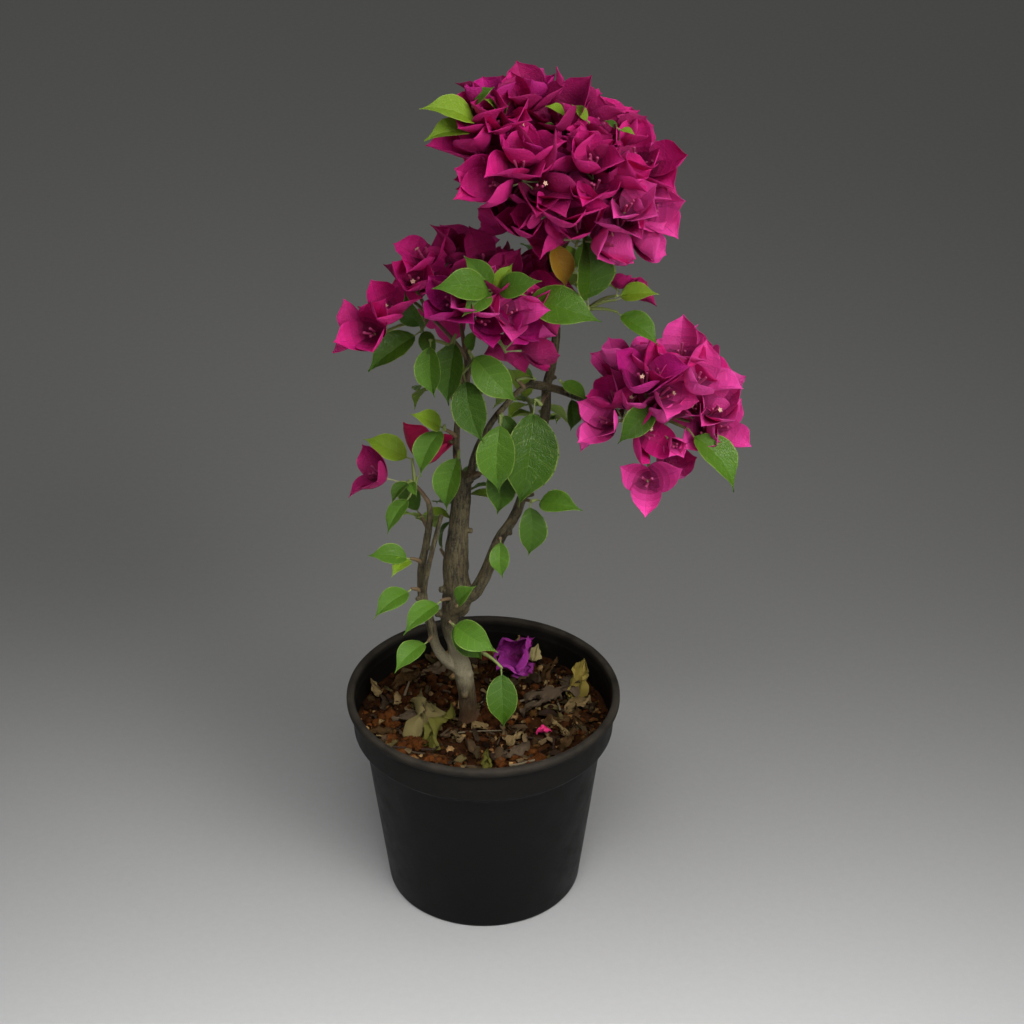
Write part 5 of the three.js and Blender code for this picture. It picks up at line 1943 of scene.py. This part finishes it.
def flower(bracts, florets, one, facing, kind, thickness, random, form=BRACT_FORM):
    """A flower: its stalk, three bracts, and three slender tube flowers between them."""
    size = one["size"]
    stalk = bow(one["root"], one["base"] + facing, 0.03, 4)
    tube(florets, stalk, [0.55, 0.5, 0.5, 0.7, 1.0], 6, FLORET_STALK)
    is_bud = random() < (BUD_SHARE if one["rank"] > 1 else 0)
    opening = between(random, *(BUD_OPENING if is_bud else OPEN_OPENING))
    size = size * (BUD_SIZE if is_bud else 1)
    front_tones, back_tones = bract_tones(form, kind)
    for radial in radials(one, facing):
        tilt = math.radians(opening + between(random, -5, 5))
        direction = facing * math.cos(tilt) + radial * math.sin(tilt)
        face = facing - radial * BRACT_LEAN + np.cross(facing, radial) * between(random, -0.25, 0.25)
        length = size * between(random, 0.9, 1.05)
        grid = blade_grid(form, one["base"], direction, face, length, random, between(random, 0.9, 1.08))
        blade_shell(bracts, grid, thickness, front_tones, back_tones, pattern_places(form))
        inner = unit(facing + radial * 0.2)
        start = one["base"] + direction * 2.4 + face * 0.3
        floret(florets, start, inner, size * between(random, 0.3, 0.4), random() < OPEN_TUBES, random)


class BOUGAINVILLEA_OT_blossom(bpy.types.Operator):
    """Builds the bracts and the small tube flowers"""

    bl_idname = "bougainvillea.blossom"
    bl_label = "Blossom"

    def execute(self, context):
        thickness = settings().blossom.thickness / MILLIMETRE
        finishes = bract_finishes()
        inner = floret_finishes()
        random = seeded(BLOSSOM_SEED)
        for region in BLOSSOM_KINDS:
            bracts, florets = Shape(), Shape()
            names = REGIONS[region]
            for name in names:
                for k, one in enumerate(plant()[name]["flowers"]):
                    facing = turned(one, FLOWER_RISE[region])
                    kind = kind_of(bract_weights(region, one["heart"]), random)
                    if name in NAMED_KINDS:
                        kind = NAMED_KINDS[name][k]
                    one["size"] *= SIZE_BY_REGION[region] * NAMED_SIZE.get(name, 1)
                    flower(bracts, florets, one, facing, kind, thickness, random)
            put(bracts.mesh(f"blossom_{region}"), f"blossom_{region}", finishes, names)
            put(florets.mesh(f"florets_{region}"), f"florets_{region}", inner, names)
        return {"FINISHED"}


# Stage

CAMERA_PLACE = (0.0210, -1.5027, 1.2148)
CAMERA_TILT = 59.1
CAMERA_LENS = 87.9
CAMERA_SENSOR = 36
CAMERA_NEAR = 0.05
FLOOR_REACH = 9000
ROOM_TINT = (0.965, 0.965, 0.93)
ROOM_LIGHT = 0.2

# Lights: place and target in metres, width and depth, spread in degrees, share of the power, colour
LIGHTS = {
    "Key light": ((0.8, -0.85, 1.2), (0.03, -0.02, 0.45), (0.8, 0.8), 80, 1.0, (1, 0.98, 0.95)),
    "Top light": ((0.15, -0.1, 1.7), (0.03, 0, 0.5), (0.5, 0.5), 80, 0.2, (1, 1, 1)),
    "Fill light": ((-1.1, -0.8, 1.1), (0, 0, 0.35), (1.2, 1.2), 150, 0.2, (0.98, 0.98, 0.97)),
    "Floor light": ((0.05, -0.8, 1.1), (0.05, -0.5, 0), (1.3, 0.4), 60, 2.7, (1, 1, 1)),
}


def area_light(name, place, target, size, spread, power, colour):
    """A soft light that shines from a place to a target, in metres, within a spread of degrees."""
    lamp = bpy.data.lights.new(name, "AREA")
    lamp.shape = "RECTANGLE"
    lamp.size, lamp.size_y = size
    lamp.spread = math.radians(spread)
    lamp.energy = power
    lamp.color = colour
    thing = bpy.data.objects.new(name, lamp)
    bpy.context.scene.collection.objects.link(thing)
    thing.location = place
    thing.rotation_euler = (Vector(target) - Vector(place)).to_track_quat("-Z", "Y").to_euler()
    thing.visible_camera = False


class BOUGAINVILLEA_OT_camera(bpy.types.Operator):
    """Sets the camera in front of the plant, looking down on the pot's rim"""

    bl_idname = "bougainvillea.camera"
    bl_label = "Camera"

    def execute(self, context):
        lens = bpy.data.cameras.new("Camera")
        lens.lens = CAMERA_LENS
        lens.sensor_width = CAMERA_SENSOR
        lens.clip_start = CAMERA_NEAR
        camera = bpy.data.objects.new("Camera", lens)
        context.scene.collection.objects.link(camera)
        camera.location = CAMERA_PLACE
        camera.rotation_euler = (math.radians(CAMERA_TILT), 0, 0)
        context.scene.camera = camera
        return {"FINISHED"}


class BOUGAINVILLEA_OT_stage(bpy.types.Operator):
    """Lays a plain grey floor and sets soft light"""

    bl_idname = "bougainvillea.stage"
    bl_label = "Floor and light"

    def execute(self, context):
        values = settings().stage
        shape = Shape()
        corners = [[x * FLOOR_REACH, y * FLOOR_REACH, 0] for x, y in ((-1, -1), (1, -1), (1, 1), (-1, 1))]
        shape.add(corners, [([[0, 1, 2, 3]], 0)])
        mesh = shape.mesh("floor")
        finish = Finish("Floor", values.floor, 0.75)
        grain = finish.noise(finish.place(), 160, 5, 0.6)
        finish.bump(grain, 0.0004, 0.3)
        finish.set(Roughness=finish.band(grain, 0.3, 0.7, 0.65, 0.85))
        mesh.materials.append(finish.material)
        floor = bpy.data.objects.new("floor", mesh)
        context.scene.collection.objects.link(floor)

        world = bpy.data.worlds.new("Studio")
        world.use_nodes = True
        background = world.node_tree.nodes["Background"]
        background.inputs["Color"].default_value = (*ROOM_TINT, 1)
        background.inputs["Strength"].default_value = ROOM_LIGHT
        context.scene.world = world
        for name, (place, target, size, spread, share, colour) in LIGHTS.items():
            area_light(name, place, target, size, spread, share * values.light, colour)
        context.scene.view_settings.view_transform = "Standard"
        return {"FINISHED"}


OPERATORS = [
    BOUGAINVILLEA_OT_camera, BOUGAINVILLEA_OT_stage, BOUGAINVILLEA_OT_pot, BOUGAINVILLEA_OT_soil,
    BOUGAINVILLEA_OT_litter, BOUGAINVILLEA_OT_bark, BOUGAINVILLEA_OT_leaves, BOUGAINVILLEA_OT_blossom,
]


class BOUGAINVILLEA_PT_panel(bpy.types.Panel):
    """Lists the plant's pieces and their settings in the sidebar"""

    bl_idname = "BOUGAINVILLEA_PT_panel"
    bl_label = "Potted Bougainvillea"
    bl_space_type = "VIEW_3D"
    bl_region_type = "UI"
    bl_category = "Bougainvillea"

    def draw(self, context):
        for operator in OPERATORS:
            self.layout.operator(operator.bl_idname)
        plant_settings = context.scene.bougainvillea
        for group in ("pot", "soil", "bark", "leaves", "blossom", "stage"):
            box = self.layout.box()
            box.label(text=group.capitalize())
            values = getattr(plant_settings, group)
            for name in values.__annotations__:
                box.prop(values, name)


CLASSES = [
    PotSettings, SoilSettings, BarkSettings, LeafSettings, BlossomSettings, StageSettings, PlantSettings,
    *OPERATORS, BOUGAINVILLEA_PT_panel,
]


def register():
    """Registers the settings, the operators and the panel."""
    for each in CLASSES:
        bpy.utils.register_class(each)
    bpy.types.Scene.bougainvillea = PointerProperty(type=PlantSettings)


def unregister():
    """Takes the settings, the operators and the panel out again."""
    del bpy.types.Scene.bougainvillea
    for each in reversed(CLASSES):
        bpy.utils.unregister_class(each)


def main():
    """Builds the whole plant and its stage."""
    register()
    bpy.ops.bougainvillea.camera()
    bpy.ops.bougainvillea.stage()
    bpy.ops.bougainvillea.pot()
    bpy.ops.bougainvillea.soil()
    bpy.ops.bougainvillea.litter()
    bpy.ops.bougainvillea.bark()
    bpy.ops.bougainvillea.leaves()
    bpy.ops.bougainvillea.blossom()


if __name__ == "__main__":
    main()
